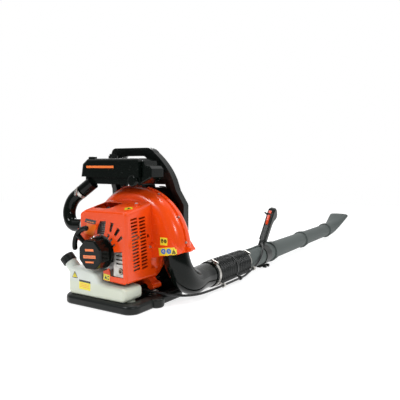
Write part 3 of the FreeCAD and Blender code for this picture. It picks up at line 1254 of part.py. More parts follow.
def handle_grip():
    """Control grip: rounded body with a hooked head and pockets for its levers."""
    body = handle_prism(GRIP_OUTLINE, 16)
    body = body.makeFillet(9, [e for e in body.Edges if abs(edge_way(e).dot(handle_axis())) < 0.5])
    pockets = [handle_prism([(66, 2), (66, 40), (130, 40), (130, 2)], 5.5),
               handle_prism([(92, -40), (92, -8), (140, -8), (140, -40)], 5.5),
               handle_prism([(143, -40), (143, -15), (158, -15), (158, -40)], 5.5)]
    pivots = [Part.makeCylinder(2 + FIT, 30, V(*handle_point(*TRIGGER_PIVOT, -15)), handle_axis()),
              Part.makeCylinder(2 + FIT, 30, V(*handle_point(*LOCK_PIVOT, -15)), handle_axis())]
    lever_hole = Part.makeCylinder(3 + FIT, 24, V(*handle_point(*SET_PIVOT, 0)), handle_axis() * -1)
    return body.cut(pockets + pivots + [lever_hole])


def edge_way(edge):
    """Return an edge's overall direction."""
    way = edge.valueAt(edge.LastParameter) - edge.valueAt(edge.FirstParameter)
    return way.normalize() if way.Length > 0.001 else V(0, 0, 0)


def throttle_trigger():
    """Finger lever on the forward side, hung under the head."""
    blade = handle_prism([(127, 7), (124, 14), (112, 20), (84, 25), (70, 31), (68, 28), (74, 18),
                          (92, 14), (112, 8)], 4.8)
    pin = Part.makeCylinder(2, 28, V(*handle_point(*TRIGGER_PIVOT, -14)), handle_axis())
    return blade.fuse(pin)


def lockout_lever():
    """Palm lever on the near side of the grip."""
    blade = handle_prism([(94, -12), (96, -21), (112, -26), (134, -29), (137, -26), (134, -14),
                          (116, -12)], 4.8)
    pin = Part.makeCylinder(2, 28, V(*handle_point(*LOCK_PIVOT, -14)), handle_axis())
    return blade.fuse(pin)


def stop_switch():
    """Stop switch slider on the near side of the head."""
    stem = handle_prism([(147, -17), (147, -24), (155, -24), (155, -17)], 4.2)
    cap = handle_prism([(145, -23.5), (145, -27), (157, -27), (157, -23.5)], 6)
    return stem.fuse(cap)


def cruise_lever():
    """Throttle set lever on the left face of the head."""
    hub = Part.makeCylinder(3, 22, V(*handle_point(*SET_PIVOT, -1)), handle_axis() * -1)
    disc = Part.makeCylinder(9, 4, V(*handle_point(*SET_PIVOT, -16 - GAP)), handle_axis() * -1)
    corners = ((140, 4), (148, 4), (144, -34), (139, -34))
    arm_points = [V(*handle_point(a, f, -16 - GAP)) for a, f in corners]
    arm = Part.Face(Part.makePolygon(arm_points + [arm_points[0]])).extrude(handle_axis() * -4)
    return hub.multiFuse([disc, arm])


# ---- throttle cable --------------------------------------------------------------
def case_screws():
    """Screws of the fan case, the engine cover, the starter and the base."""
    y = CASE_Y0 + CASE_T / 2 - 6
    made = screws([(x, y, z) for x, z in case_screw_spots()], (0, -1, 0), 4.5, 3, 2.5, 12)
    made += screws([(80, -28, roof_z(-28) + 4)], (0, 0, 1), 5, 3, 2.5, 5)
    made += screws([(COVER_X1 + 3, 4, CRANK_Z + 12)], (0, -1, 0), 4.5, 3, 2.5, 6)
    return made


def frame_bolts():
    """Bolts that join the back frame to the base."""
    y = FRAME_Y + FRAME_T / 2
    return screws([(x, y - 0.1, BASE_H + FRAME_RIM) for x in (-120, -40, 40, 120)], (0, 0, 1), 6, 4, 3, 34)


def build():
    """Build every sub-part and write it."""
    os.makedirs("parts", exist_ok=True)
    bolts = frame_bolts()
    duct_room = elbow_core(DUCT_R + DUCT_ROOM)
    save("base_frame", base_frame().cut(duct_room).cut(bolts))
    save("back_frame", back_frame().cut(duct_room).cut(bolts))
    save("back_pad", back_pad())
    save("shoulder_strap_left", shoulder_strap(-1))
    save("shoulder_strap_right", shoulder_strap(1))
    save("damper_springs", *damper_springs())
    case_bolts = case_screws()
    whole = fan_case()
    save("fan_case_front", case_half(whole, False).cut(case_bolts))
    save("fan_case_rear", case_half(whole, True).cut(case_bolts))
    save("inlet_guard", inlet_guard())
    save("impeller", impeller())
    save("screws", *case_bolts, *bolts)
    save("crankcase", crankcase())
    save("cylinder", cylinder())
    save("piston", piston())
    save("crankshaft", *crankshaft())
    save("flywheel", flywheel())
    save("spark_plug", spark_plug())
    save("plug_lead", plug_cap(), ignition_lead())
    save("ignition_coil", ignition_coil())
    save("muffler", muffler())
    save("muffler_guard", muffler_guard())
    save("carburettor", carburettor())
    save("carb_lever", carb_lever())
    save("choke_lever", choke_lever())
    save("primer_bulb", primer_bulb())
    save("intake_duct", intake_duct())
    save("air_cleaner_base", air_cleaner_base())
    save("air_cleaner_cover", air_cleaner_cover())
    save("air_filter", air_filter())
    save("cover_knob", cover_knob())
    save("starter_housing", starter_housing())
    save("starter_pulley", starter_pulley())
    save("recoil_spring", recoil_spring())
    save("starter_rope", starter_rope())
    save("pull_handle", pull_handle())
    save("fuel_tank", fuel_tank())
    save("fuel_cap", fuel_cap())
    save("fuel_line", fuel_line())
    save("engine_cover", engine_cover().cut(case_bolts))
    save("elbow_duct", elbow_duct())
    save("worm_clamps", intake_clamp(), hose_clamp(HOSE_Y0 - 12, DUCT_R + 3, CABLE_START))
    save("bellows_front", bellows(HOSE_Y0, HOSE_MID - MID_HALF))
    save("hose_ring", hose_ring())
    save("bellows_rear", bellows(HOSE_MID + MID_HALF, HOSE_Y1))
    tube_cable = tube_along("cable_tube", CABLE_TUBE, CABLE_D)
    save("hose_clamp_rear", hose_clamp(HOSE_Y1 + 7, A_R, CABLE_BACK).cut(tube_cable))
    save("pipe_a", pipe_a())
    save("pipe_b", pipe_b())
    save("pipe_c", pipe_c())
    save("nozzle", nozzle())
    save("handle_clamp", handle_clamp().cut(tube_cable))
    save("clamp_knobs", *clamp_knobs())
    save("handle_grip", handle_grip())
    save("throttle_trigger", throttle_trigger())
    save("lockout_lever", lockout_lever())
    save("stop_switch", stop_switch())
    save("cruise_lever", cruise_lever())
    save("cable_engine", tube_along("cable_engine", CABLE_ENGINE, CABLE_D))
    save("cable_front", tube_along("cable_front", CABLE_HOSE_A, CABLE_D))
    save("cable_rear", tube_along("cable_rear", CABLE_HOSE_B, CABLE_D))
    save("cable_tube", tube_cable)


build()
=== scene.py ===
"""Backpack leaf blower: finishes, hose, cable, rope, padding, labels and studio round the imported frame."""
import json
import logging
import math
from dataclasses import dataclass, field
from enum import Enum
from typing import Callable, Optional, Sequence, Union

import bpy
from mathutils import Matrix, Vector
from mathutils.bvhtree import BVHTree

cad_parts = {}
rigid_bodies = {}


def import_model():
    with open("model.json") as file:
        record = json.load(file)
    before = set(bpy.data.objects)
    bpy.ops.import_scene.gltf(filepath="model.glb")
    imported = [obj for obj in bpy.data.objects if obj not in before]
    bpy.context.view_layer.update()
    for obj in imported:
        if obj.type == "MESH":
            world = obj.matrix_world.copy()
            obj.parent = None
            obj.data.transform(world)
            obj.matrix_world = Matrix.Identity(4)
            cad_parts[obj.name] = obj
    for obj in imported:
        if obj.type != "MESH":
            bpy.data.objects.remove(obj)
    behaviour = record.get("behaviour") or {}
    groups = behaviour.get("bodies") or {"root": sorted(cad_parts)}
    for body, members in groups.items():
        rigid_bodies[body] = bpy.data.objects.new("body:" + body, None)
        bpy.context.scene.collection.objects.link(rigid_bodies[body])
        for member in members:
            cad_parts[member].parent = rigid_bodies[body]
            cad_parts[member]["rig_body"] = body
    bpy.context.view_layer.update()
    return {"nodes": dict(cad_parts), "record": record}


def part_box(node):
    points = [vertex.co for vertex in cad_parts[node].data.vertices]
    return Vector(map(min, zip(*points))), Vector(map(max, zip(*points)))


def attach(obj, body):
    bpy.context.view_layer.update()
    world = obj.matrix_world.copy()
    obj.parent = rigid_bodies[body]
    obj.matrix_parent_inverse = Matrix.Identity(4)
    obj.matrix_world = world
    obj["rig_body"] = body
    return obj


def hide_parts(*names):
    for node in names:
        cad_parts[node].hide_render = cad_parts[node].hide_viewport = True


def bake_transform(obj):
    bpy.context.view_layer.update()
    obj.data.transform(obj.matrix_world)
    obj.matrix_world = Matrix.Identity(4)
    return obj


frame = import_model()

Colour = tuple[float, float, float]
Point = tuple[float, float, float]
Spot = tuple[float, float]
Face = tuple[int, ...]
Piece = bpy.types.Object
log = logging.getLogger("blower")
MM = 0.001
FLOOR_SIDE = 8.0


# ---- shader maths ----------------------------------------------------------------
class Signal:
    """A socket's value, with operators that add Math nodes."""

    def __init__(self, tree: bpy.types.NodeTree, socket: bpy.types.NodeSocket) -> None:
        """Keep the tree and the socket."""
        self.tree = tree
        self.socket = socket

    def maths(self, operation: str, *terms: "Term") -> "Signal":
        """Add one Math node.

        Args:
            operation: the node's operation.
            terms: its values or links, in order.

        Returns:
            The node's result.
        """
        node = self.tree.nodes.new("ShaderNodeMath")
        node.operation = operation
        for slot, term in zip(node.inputs, terms):
            plug(self.tree, slot, term)
        return Signal(self.tree, node.outputs[0])

    def __add__(self, other: "Term") -> "Signal":
        """Sum."""
        return self.maths("ADD", self, other)

    def __radd__(self, other: "Term") -> "Signal":
        """Sum, the other way round."""
        return self.maths("ADD", other, self)

    def __sub__(self, other: "Term") -> "Signal":
        """Difference."""
        return self.maths("SUBTRACT", self, other)

    def __rsub__(self, other: "Term") -> "Signal":
        """Difference from a plain value."""
        return self.maths("SUBTRACT", other, self)

    def __mul__(self, other: "Term") -> "Signal":
        """Product."""
        return self.maths("MULTIPLY", self, other)

    def __rmul__(self, other: "Term") -> "Signal":
        """Product, the other way round."""
        return self.maths("MULTIPLY", other, self)

    def above(self, edge: float, softness: float) -> "Signal":
        """Rise from 0 to 1 as the value passes an edge.

        Args:
            edge: the value at the middle of the rise.
            softness: half the width of the rise.

        Returns:
            The mask.
        """
        slope = 0.5 / softness
        line = self.maths("MULTIPLY_ADD", self, slope, 0.5 - edge * slope)
        return self.maths("MAXIMUM", self.maths("MINIMUM", line, 1.0), 0.0)


Term = Union[Signal, float, int, Sequence[float]]


def plug(tree: bpy.types.NodeTree, slot: bpy.types.NodeSocket, term: Term) -> None:
    """Link a signal to a socket, or set its value.

    Args:
        tree: the node tree.
        slot: the input socket.
        term: a signal, a number or a colour.
    """
    if isinstance(term, Signal):
        tree.links.new(term.socket, slot)
    elif isinstance(term, (int, float)):
        slot.default_value = float(term)
    else:
        values = tuple(term)
        slot.default_value = values + (1.0,) if slot.type == "RGBA" and len(values) == 3 else values


class Surface:
    """One material with its node tree and its main shader."""

    def __init__(self, name: str) -> None:
        """Start a material.

        Args:
            name: the material's name.
        """
        self.material = bpy.data.materials.new(name)
        self.material.use_nodes = True
        self.tree = self.material.node_tree
        self.shader = self.tree.nodes["Principled BSDF"]

    def node(self, kind: str, settings: dict, inputs: dict, output: int = 0) -> Signal:
        """Add any node.

        Args:
            kind: the node's type.
            settings: properties set first; stops holds a ramp's places and colours.
            inputs: values or links by socket name or number.
            output: the number of the output that is wanted.

        Returns:
            The output as a signal.
        """
        node = self.tree.nodes.new(kind)
        for key, value in settings.items():
            if key == "stops":
                ramp = node.color_ramp.elements
                while len(ramp) < len(value):
                    ramp.new(1.0)
                for element, (place, colour) in zip(ramp, value):
                    element.position = place
                    element.color = (*colour, 1.0)
            else:
                setattr(node, key, value)
        for key, value in inputs.items():
            plug(self.tree, node.inputs[key], value)
        return Signal(self.tree, node.outputs[output])

    def place(self, stretch: Point = (1.0, 1.0, 1.0)) -> Signal:
        """Return the piece's own coordinates in metres, stretched along each axis."""
        here = self.node("ShaderNodeTexCoord", {}, {}, 3)
        return self.node("ShaderNodeVectorMath", {"operation": "MULTIPLY"}, {0: here, 1: stretch})

    def grain(self, where: Signal, scale: float, detail: float = 2.0, rough: float = 0.5) -> Signal:
        """Return noise about 0.5, of so many cells per metre and octaves."""
        inputs = {"Vector": where, "Scale": scale, "Detail": detail, "Roughness": rough}
        return self.node("ShaderNodeTexNoise", {}, inputs)

    def cells(self, where: Signal, scale: float) -> Signal:
        """Return the distance to the nearest of scattered points."""
        return self.node("ShaderNodeTexVoronoi", {"feature": "F1"}, {"Vector": where, "Scale": scale})

    def wave(self, where: Signal, scale: float, axis: str) -> Signal:
        """Return regular bands across one axis."""
        settings = {"wave_type": "BANDS", "bands_direction": axis, "wave_profile": "SIN"}
        return self.node("ShaderNodeTexWave", settings, {"Vector": where, "Scale": scale})

    def facing_up(self) -> Signal:
        """Return how far the surface faces upward, from -1 to 1."""
        normal = self.node("ShaderNodeNewGeometry", {}, {}, 1)
        return self.node("ShaderNodeSeparateXYZ", {}, {0: normal}, 2)

    def mixed(self, share: Term, low: Term, high: Term) -> Signal:
        """Mix two colours: a share of 0 gives low and 1 gives high."""
        return self.node("ShaderNodeMix", {"data_type": "RGBA"}, {0: share, 6: low, 7: high}, 2)

    def relief(self, height: Signal, depth: float, strength: float = 1.0) -> None:
        """Feed a bump to the shader: relief from 0 to 1, with its depth in metres."""
        inputs = {"Strength": strength, "Distance": depth, "Height": height}
        self.feed("Normal", self.node("ShaderNodeBump", {}, inputs))

    def feed(self, socket: str, term: Term) -> None:
        """Link or set one of the shader's sockets."""
        plug(self.tree, self.shader.inputs[socket], term)

    def fixed(self, **values: Union[float, Colour]) -> None:
        """Set the shader's constant sockets, named with underscores for spaces."""
        for key, value in values.items():
            self.feed(key.replace("_", " "), value)


# ---- finishes --------------------------------------------------------------------
@dataclass(frozen=True)
class Moulded:
    """Moulded plastic: drifting tone, fine grain, scuffs and settled dust."""

    name: str
    colour: Colour
    scuffed: Colour
    roughness: float = 0.4
    coat: float = 0.0
    grain_scale: float = 1500.0
    grain_depth: float = 0.00004
    drift: float = 0.25
    dust: float = 0.12
    specular: float = 0.5
    stretch: Point = (1.0, 1.0, 1.0)

    def make(self) -> bpy.types.Material:
        """Return the material."""
        s = Surface(self.name)
        here = s.place()
        cloud = s.grain(here, 7.0, 3.0)
        fine = s.grain(s.place(self.stretch), self.grain_scale, 2.0, 0.6)
        scratch = s.grain(s.place((60.0, 900.0, 260.0)), 1.0, 3.0, 0.7).above(0.66, 0.03)
        settled = s.facing_up().above(0.75, 0.2) * s.grain(here, 55.0, 4.0, 0.7).above(0.52, 0.16)
        darker = tuple(c * (1.0 - self.drift) for c in self.colour)
        tone = s.mixed(cloud.above(0.5, 0.25), darker, self.colour)
        tone = s.mixed(scratch * 0.25, tone, self.scuffed)
        tone = s.mixed(settled * self.dust, tone, (0.42, 0.38, 0.32))
        s.feed("Base Color", tone)
        s.feed("Roughness", fine * 0.12 + (self.roughness - 0.06) + settled * 0.3 + scratch * 0.12)
        s.relief(fine + cloud * 0.5, self.grain_depth)
        s.fixed(Coat_Weight=self.coat, Coat_Roughness=0.09, Specular_IOR_Level=self.specular)
        return s.material


@dataclass(frozen=True)
class Metal:
    """Metal: brushed or cast, with tarnish in blotches."""

    name: str
    colour: Colour
    tarnish: Colour
    roughness: float = 0.3
    brush: Point = (1.0, 1.0, 1.0)
    scale: float = 900.0
    depth: float = 0.00003

    def make(self) -> bpy.types.Material:
        """Return the material."""
        s = Surface(self.name)
        blotch = s.grain(s.place(), 45.0, 4.0, 0.65)
        streak = s.grain(s.place(self.brush), self.scale, 3.0, 0.6)
        dull = blotch.above(0.58, 0.12)
        s.feed("Base Color", s.mixed(dull * 0.6, s.mixed(streak, self.colour, self.tarnish), self.tarnish))
        s.feed("Roughness", streak * 0.2 + (self.roughness - 0.1) + dull * 0.22)
        s.feed("Metallic", 1.0 - dull * 0.25)
        s.relief(streak, self.depth)
        return s.material


@dataclass(frozen=True)
class Milky:
    """Blow moulded tank plastic: translucent and cloudy, with painted shade low down: darker and yellower
    below a set height.
    """

    name: str
    plastic_tone: Colour
    low_shade: Colour
    level: float

    def make(self) -> bpy.types.Material:
        """Return the material."""
        s = Surface(self.name)
        here = s.place()
        height = s.node("ShaderNodeSeparateXYZ", {}, {0: here}, 2)
        cloud = s.grain(here, 16.0, 4.0)
        # painted shade: the tank turns darker and yellower below a set height
        low_shade = 1.0 - height.above(self.level, 0.004)
        tone = s.mixed(low_shade * 0.55, s.mixed(cloud, self.plastic_tone, tuple(c * 0.9 for c in self.plastic_tone)), self.low_shade)
        s.feed("Base Color", tone)
        s.feed("Roughness", cloud * 0.16 + 0.26)
        s.relief(s.grain(here, 420.0, 3.0) + cloud, 0.00012)
        s.fixed(Subsurface_Weight=0.35, Subsurface_Scale=0.012, Coat_Weight=0.12, Coat_Roughness=0.25)
        s.shader.inputs["Subsurface Radius"].default_value = (1.0, 0.95, 0.8)
        return s.material


@dataclass(frozen=True)
class Cloth:
    """Woven fabric: over and under threads, with lint and fade."""

    name: str
    colour: Colour
    thread: Colour
    threads_per_m: float = 900.0
    depth: float = 0.00035

    def make(self) -> bpy.types.Material:
        """Return the material."""
        s = Surface(self.name)
        here = s.place()
        across = s.wave(here, self.threads_per_m / 3.3, "X")
        along = s.wave(here, self.threads_per_m / 3.3, "Z")
        over, under = across * (1.0 - along), along * (1.0 - across)
        weave = over.maths("MAXIMUM", over, under)
        fade = s.grain(here, 12.0, 4.0).above(0.5, 0.3)
        lint = s.grain(here, 700.0, 2.0).above(0.7, 0.04)
        tone = s.mixed(weave, self.colour, self.thread)
        tone = s.mixed(fade * 0.35, tone, tuple(c * 1.7 for c in self.thread))
        s.feed("Base Color", s.mixed(lint * 0.3, tone, (0.3, 0.3, 0.3)))
        s.feed("Roughness", 0.95 - weave * 0.2)
        s.relief(weave, self.depth, 0.8)
        s.fixed(Sheen_Weight=0.25, Sheen_Roughness=0.5)
        return s.material


@dataclass(frozen=True)
class Rubber:
    """Moulded rubber: dull, with bloom and a fine stipple."""

    name: str
    colour: Colour
    bloom: Colour
    roughness: float = 0.55
    coat: float = 0.0

    def make(self) -> bpy.types.Material:
        """Return the material."""
        s = Surface(self.name)
        here = s.place()
        patch = s.grain(here, 24.0, 4.0, 0.6).above(0.56, 0.18)
        stipple = s.cells(here, 1600.0)
        s.feed("Base Color", s.mixed(patch * 0.4, self.colour, self.bloom))
        s.feed("Roughness", patch * 0.16 + stipple * 0.06 + (self.roughness - 0.05))
        s.relief(stipple, 0.000015)
        s.fixed(Coat_Weight=self.coat, Coat_Roughness=0.2, Specular_IOR_Level=0.35)
        return s.material


@dataclass(frozen=True)
class Film:
    """Printed label film: even colour with faint print grain and rubbed patches."""

    name: str
    colour: Colour

    def make(self) -> bpy.types.Material:
        """Return the material."""
        s = Surface(self.name)
        here = s.place()
        dots = s.cells(here, 2600.0).above(0.35, 0.2)
        rubbed = s.grain(here, 90.0, 4.0, 0.7).above(0.64, 0.06)
        faded = tuple(min(1.0, c * 0.8 + 0.12) for c in self.colour)
        s.feed("Base Color", s.mixed(rubbed * 0.5, s.mixed(dots * 0.08, self.colour, faded), faded))
        s.feed("Roughness", rubbed * 0.25 + 0.24)
        s.relief(s.grain(here, 300.0, 2.0), 0.00003)
        s.fixed(Coat_Weight=0.3, Coat_Roughness=0.12)
        return s.material


class Finish(Enum):
    """Every finish on the machine."""

    ORANGE = Moulded("orange_cover", (0.88, 0.07, 0.002), (0.95, 0.25, 0.08), 0.25, 0.2, 500.0, 0.00003,
                     0.12, 0.04, 0.35)
    PANEL = Moulded("amber_panel", (0.95, 0.17, 0.005), (0.95, 0.4, 0.2), 0.3, 0.2, 700.0, 0.00003, 0.1, 0.05)
    BLACK = Moulded("grained_black", (0.006, 0.0085, 0.0075), (0.05, 0.055, 0.05), 0.33, 0.0, 1500.0, 0.00006,
                    0.25, 0.03, 0.3)
    GLOSS = Moulded("smooth_black", (0.003, 0.005, 0.004), (0.04, 0.045, 0.04), 0.14, 0.0, 800.0, 0.00002,
                    0.25, 0.02, 0.2)
    TUBE = Moulded("tube_plastic", (0.022, 0.032, 0.029), (0.1, 0.115, 0.11), 0.27, 0.1, 1300.0, 0.00005,
                   0.15, 0.05, 0.5, (1.0, 0.03, 1.0))
    NYLON = Moulded("fan_nylon", (0.03, 0.03, 0.031), (0.1, 0.1, 0.1), 0.5, 0.0, 1200.0, 0.00006)
    CONTROL = Moulded("control_red", (0.86, 0.07, 0.012), (0.9, 0.3, 0.2), 0.3, 0.3, 1200.0, 0.00004,
                      0.15, 0.04)
    CERAMIC = Moulded("glazed_white", (0.8, 0.8, 0.76), (0.6, 0.58, 0.5), 0.2, 0.6, 300.0, 0.00001, 0.06, 0.1)
    PAPER = Moulded("filter_paper", (0.66, 0.58, 0.38), (0.4, 0.35, 0.25), 0.9, 0.0, 900.0, 0.0002, 0.2, 0.3)
    # the second colour is painted shade on the tank's lower part, below a height of 74 mm
    TANK = Milky("milky_tank", (0.72, 0.77, 0.7), (0.66, 0.7, 0.52), 0.074)
    STEEL = Metal("zinc_steel", (0.66, 0.65, 0.62), (0.36, 0.34, 0.31), 0.28, (1.0, 0.1, 1.0),
                  1400.0, 0.00002)
    HOT_STEEL = Metal("heat_steel", (0.62, 0.58, 0.52), (0.34, 0.24, 0.16), 0.36, (0.1, 1.0, 1.0),
                      900.0, 0.00002)
    ALLOY = Metal("cast_alloy", (0.6, 0.6, 0.59), (0.32, 0.32, 0.31), 0.5, (1.0, 1.0, 1.0), 1600.0, 0.00012)
    RUBBER = Rubber("black_rubber", (0.006, 0.008, 0.0075), (0.02, 0.022, 0.021), 0.32, 0.0)
    CONDUIT = Rubber("cable_sheath", (0.007, 0.008, 0.008), (0.03, 0.03, 0.03), 0.3, 0.0)
    FUEL_HOSE = Rubber("fuel_hose", (0.32, 0.24, 0.1), (0.4, 0.34, 0.2), 0.3, 0.4)
    WEBBING = Cloth("strap_webbing", (0.012, 0.012, 0.014), (0.05, 0.05, 0.055), 1300.0, 0.0003)
    PADDING = Cloth("pad_fabric", (0.014, 0.014, 0.016), (0.06, 0.06, 0.066), 800.0, 0.0005)
    PIPING = Cloth("orange_piping", (0.55, 0.07, 0.012), (0.8, 0.16, 0.03), 1500.0, 0.0002)
    ROPE = Cloth("pull_rope", (0.4, 0.4, 0.38), (0.75, 0.74, 0.7), 1800.0, 0.0002)
    LABEL_YELLOW = Film("label_yellow", (0.86, 0.74, 0.03))
    LABEL_BLACK = Film("label_black", (0.012, 0.012, 0.012))
    LABEL_ORANGE = Film("label_orange", (0.88, 0.19, 0.03))
    LABEL_BLUE = Film("label_blue", (0.04, 0.2, 0.62))
    LABEL_WHITE = Film("label_white", (0.82, 0.82, 0.78))

    @property
    def material(self) -> bpy.types.Material:
        """Return the finish's material, made once."""
        return bpy.data.materials.get(self.value.name) or self.value.make()


SLOT_FINISH: dict[str, Finish] = {
    "black_plastic": Finish.BLACK, "gloss_black": Finish.GLOSS, "orange_plastic": Finish.ORANGE,
    "tank_plastic": Finish.TANK, "tube_plastic": Finish.TUBE, "rubber": Finish.RUBBER, "steel": Finish.STEEL,
    "alloy": Finish.ALLOY, "fan_plastic": Finish.NYLON, "fabric": Finish.WEBBING, "paper": Finish.PAPER,
    "ceramic": Finish.CERAMIC, "orange_control": Finish.CONTROL,
}
NODE_FINISH: dict[str, Finish] = {
    "muffler": Finish.HOT_STEEL, "muffler_guard": Finish.STEEL, "fuel_line": Finish.FUEL_HOSE,
    "elbow_duct": Finish.GLOSS, "pull_handle": Finish.GLOSS, "fuel_cap": Finish.BLACK,
    "intake_duct": Finish.GLOSS, "recoil_spring": Finish.STEEL,
}


# ---- mesh helpers ----------------------------------------------------------------
def linked(name: str, data: Optional[bpy.types.ID]) -> Piece:
    """Return a new object in the scene that holds the data."""
    piece = bpy.data.objects.new(name, data)
    bpy.context.scene.collection.objects.link(piece)
    return piece


def smooth(mesh: bpy.types.Mesh) -> None:
    """Shade every face of a mesh smooth."""
    mesh.polygons.foreach_set("use_smooth", [True] * len(mesh.polygons))


def evaluated(piece: Piece) -> bpy.types.Mesh:
    """Return a mesh of what a curve or a modified piece shows."""
    return bpy.data.meshes.new_from_object(piece.evaluated_get(bpy.context.evaluated_depsgraph_get()))


def circle(centre: Vector, side: Vector, up: Vector, radius: float, count: int) -> list[Vector]:
    """Return points round a circle that lies in the plane of side and up."""
    angles = (2 * math.pi * k / count for k in range(count))
    return [centre + (side * math.cos(a) + up * math.sin(a)) * radius for a in angles]


def solid(name: str, points: Sequence[Vector], faces: Sequence[Sequence[int]], finish: Finish,
          sharp_deg: float = 50.0) -> Piece:
    """Make a mesh piece in the row frame.

    Args:
        name: the piece's name.
        points: its vertices in metres.
        faces: vertex numbers of each face.
        finish: its finish.
        sharp_deg: edges that turn further than this stay sharp.

    Returns:
        The piece.
    """
    mesh = bpy.data.meshes.new(name)
    mesh.from_pydata([tuple(p) for p in points], [], [tuple(f) for f in faces])
    mesh.validate()
    smooth(mesh)
    mesh.set_sharp_from_angle(angle=math.radians(sharp_deg))
    mesh.materials.append(finish.material)
    return linked(name, mesh)


def band_faces(rows: int, columns: int, closed: bool = True) -> list[Face]:
    """Return quads between successive rows of vertices.

    Args:
        rows: number of rows.
        columns: vertices in each row.
        closed: whether each row is a ring.

    Returns:
        The faces.
    """
    last = columns if closed else columns - 1
    return [(r * columns + c, r * columns + (c + 1) % columns, (r + 1) * columns + (c + 1) % columns,
             (r + 1) * columns + c) for r in range(rows - 1) for c in range(last)]


def directions(line: Sequence[Vector], first: Vector) -> list[tuple[Vector, Vector, Vector]]:
    """Return a frame carried along a line without twisting.

    Args:
        line: the points.
        first: a direction across the line at its start.

    Returns:
        Tangent, side and normal at each point.
    """
    frames = []
    side = first
    for i in range(len(line)):
        tangent = (line[min(i + 1, len(line) - 1)] - line[max(i - 1, 0)]).normalized()
        side = (side - tangent * side.dot(tangent)).normalized()
        frames.append((tangent, side, tangent.cross(side)))
    return frames


def sweep(name: str, line: Sequence[Vector], section: Callable[[float, float], Spot], count: int,
          finish: Finish, first: Vector = Vector((1, 0, 0))) -> Piece:
    """Sweep a section along a line into a closed piece.

    Args:
        name: the piece's name.
        line: its middle line.
        section: gives (side, normal) offsets in metres for a share along the line and an angle.
        count: vertices round the section.
        finish: its finish.
        first: a direction across the line at its start.

    Returns:
        The piece.
    """
    points: list[Vector] = []
    for i, (_, side, normal) in enumerate(directions(line, first)):
        share = i / (len(line) - 1)
        for k in range(count):
            across, out = section(share, 2 * math.pi * k / count)
            points.append(line[i] + side * across + normal * out)
    faces = band_faces(len(line), count)
    faces.append(tuple(reversed(range(count))))
    faces.append(tuple((len(line) - 1) * count + k for k in range(count)))
    return solid(name, points, faces, finish)


def spline_curve(name: str, route: Sequence[Point], radius: float) -> Piece:
    """Return a smooth curve whose control points are a route.

    Args:
        name: the curve's name.
        route: control points in millimetres.
        radius: half its thickness in metres, or 0 for a bare line.

    Returns:
        The curve.
    """
    data = bpy.data.curves.new(name, "CURVE")
    data.dimensions = "3D"
    data.bevel_depth = radius
    data.bevel_resolution = 6
    data.resolution_u = 12
    data.use_fill_caps = radius > 0
    spline = data.splines.new("NURBS")
    spline.points.add(len(route) - 1)
    for point, spot in zip(spline.points, route):
        point.co = (*(c * MM for c in spot), 1.0)
    spline.order_u = 3
    spline.use_endpoint_u = True
    return linked(name, data)


def as_mesh(curve: Piece, finish: Finish) -> Piece:
    """Turn a curve into a mesh piece of the same name.

    Args:
        curve: the curve, which is removed.
        finish: the piece's finish.

    Returns:
        The mesh piece.
    """
    name = curve.name
    mesh = evaluated(curve)
    bpy.data.objects.remove(curve)
    mesh.materials.clear()
    mesh.materials.append(finish.material)
    smooth(mesh)
    return linked(name, mesh)


def read_line(route: Sequence[Point]) -> list[Vector]:
    """Return the points of a route's own smooth line, in metres."""
    curve = spline_curve("route_line", route, 0.0)
    mesh = evaluated(curve)
    points = [v.co.copy() for v in mesh.vertices]
    bpy.data.meshes.remove(mesh)
    bpy.data.objects.remove(curve)
    return points


def settle(piece: Piece, body: str, slot: str, *nodes: str) -> Piece:
    """Let a piece ride on a body and hide the CAD nodes that it stands for.

    Args:
        piece: the piece.
        body: the body it rides on.
        slot: the record's material slot; not used.
        nodes: CAD nodes that it replaces.

    Returns:
        The piece.
    """
    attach(piece, body)
    if nodes:
        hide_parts(*nodes)
    log.info("%s rides on %s", piece.name, body)
    return piece


def bend(piece: Piece, node: str, hose_node: str, ahead: str, behind: str) -> None:
    """Let a rubber piece stand for a node: hide the node and bake the piece's transform into its mesh.

    Args:
        piece: the piece.
        node: the CAD node that it replaces.
        hose_node: the hose half; not used.
        ahead: the body at the half's near end.
        behind: the body at its far end.
    """
    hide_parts(node)
    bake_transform(piece)
    log.info("%s bends between %s and %s", piece.name, ahead, behind)


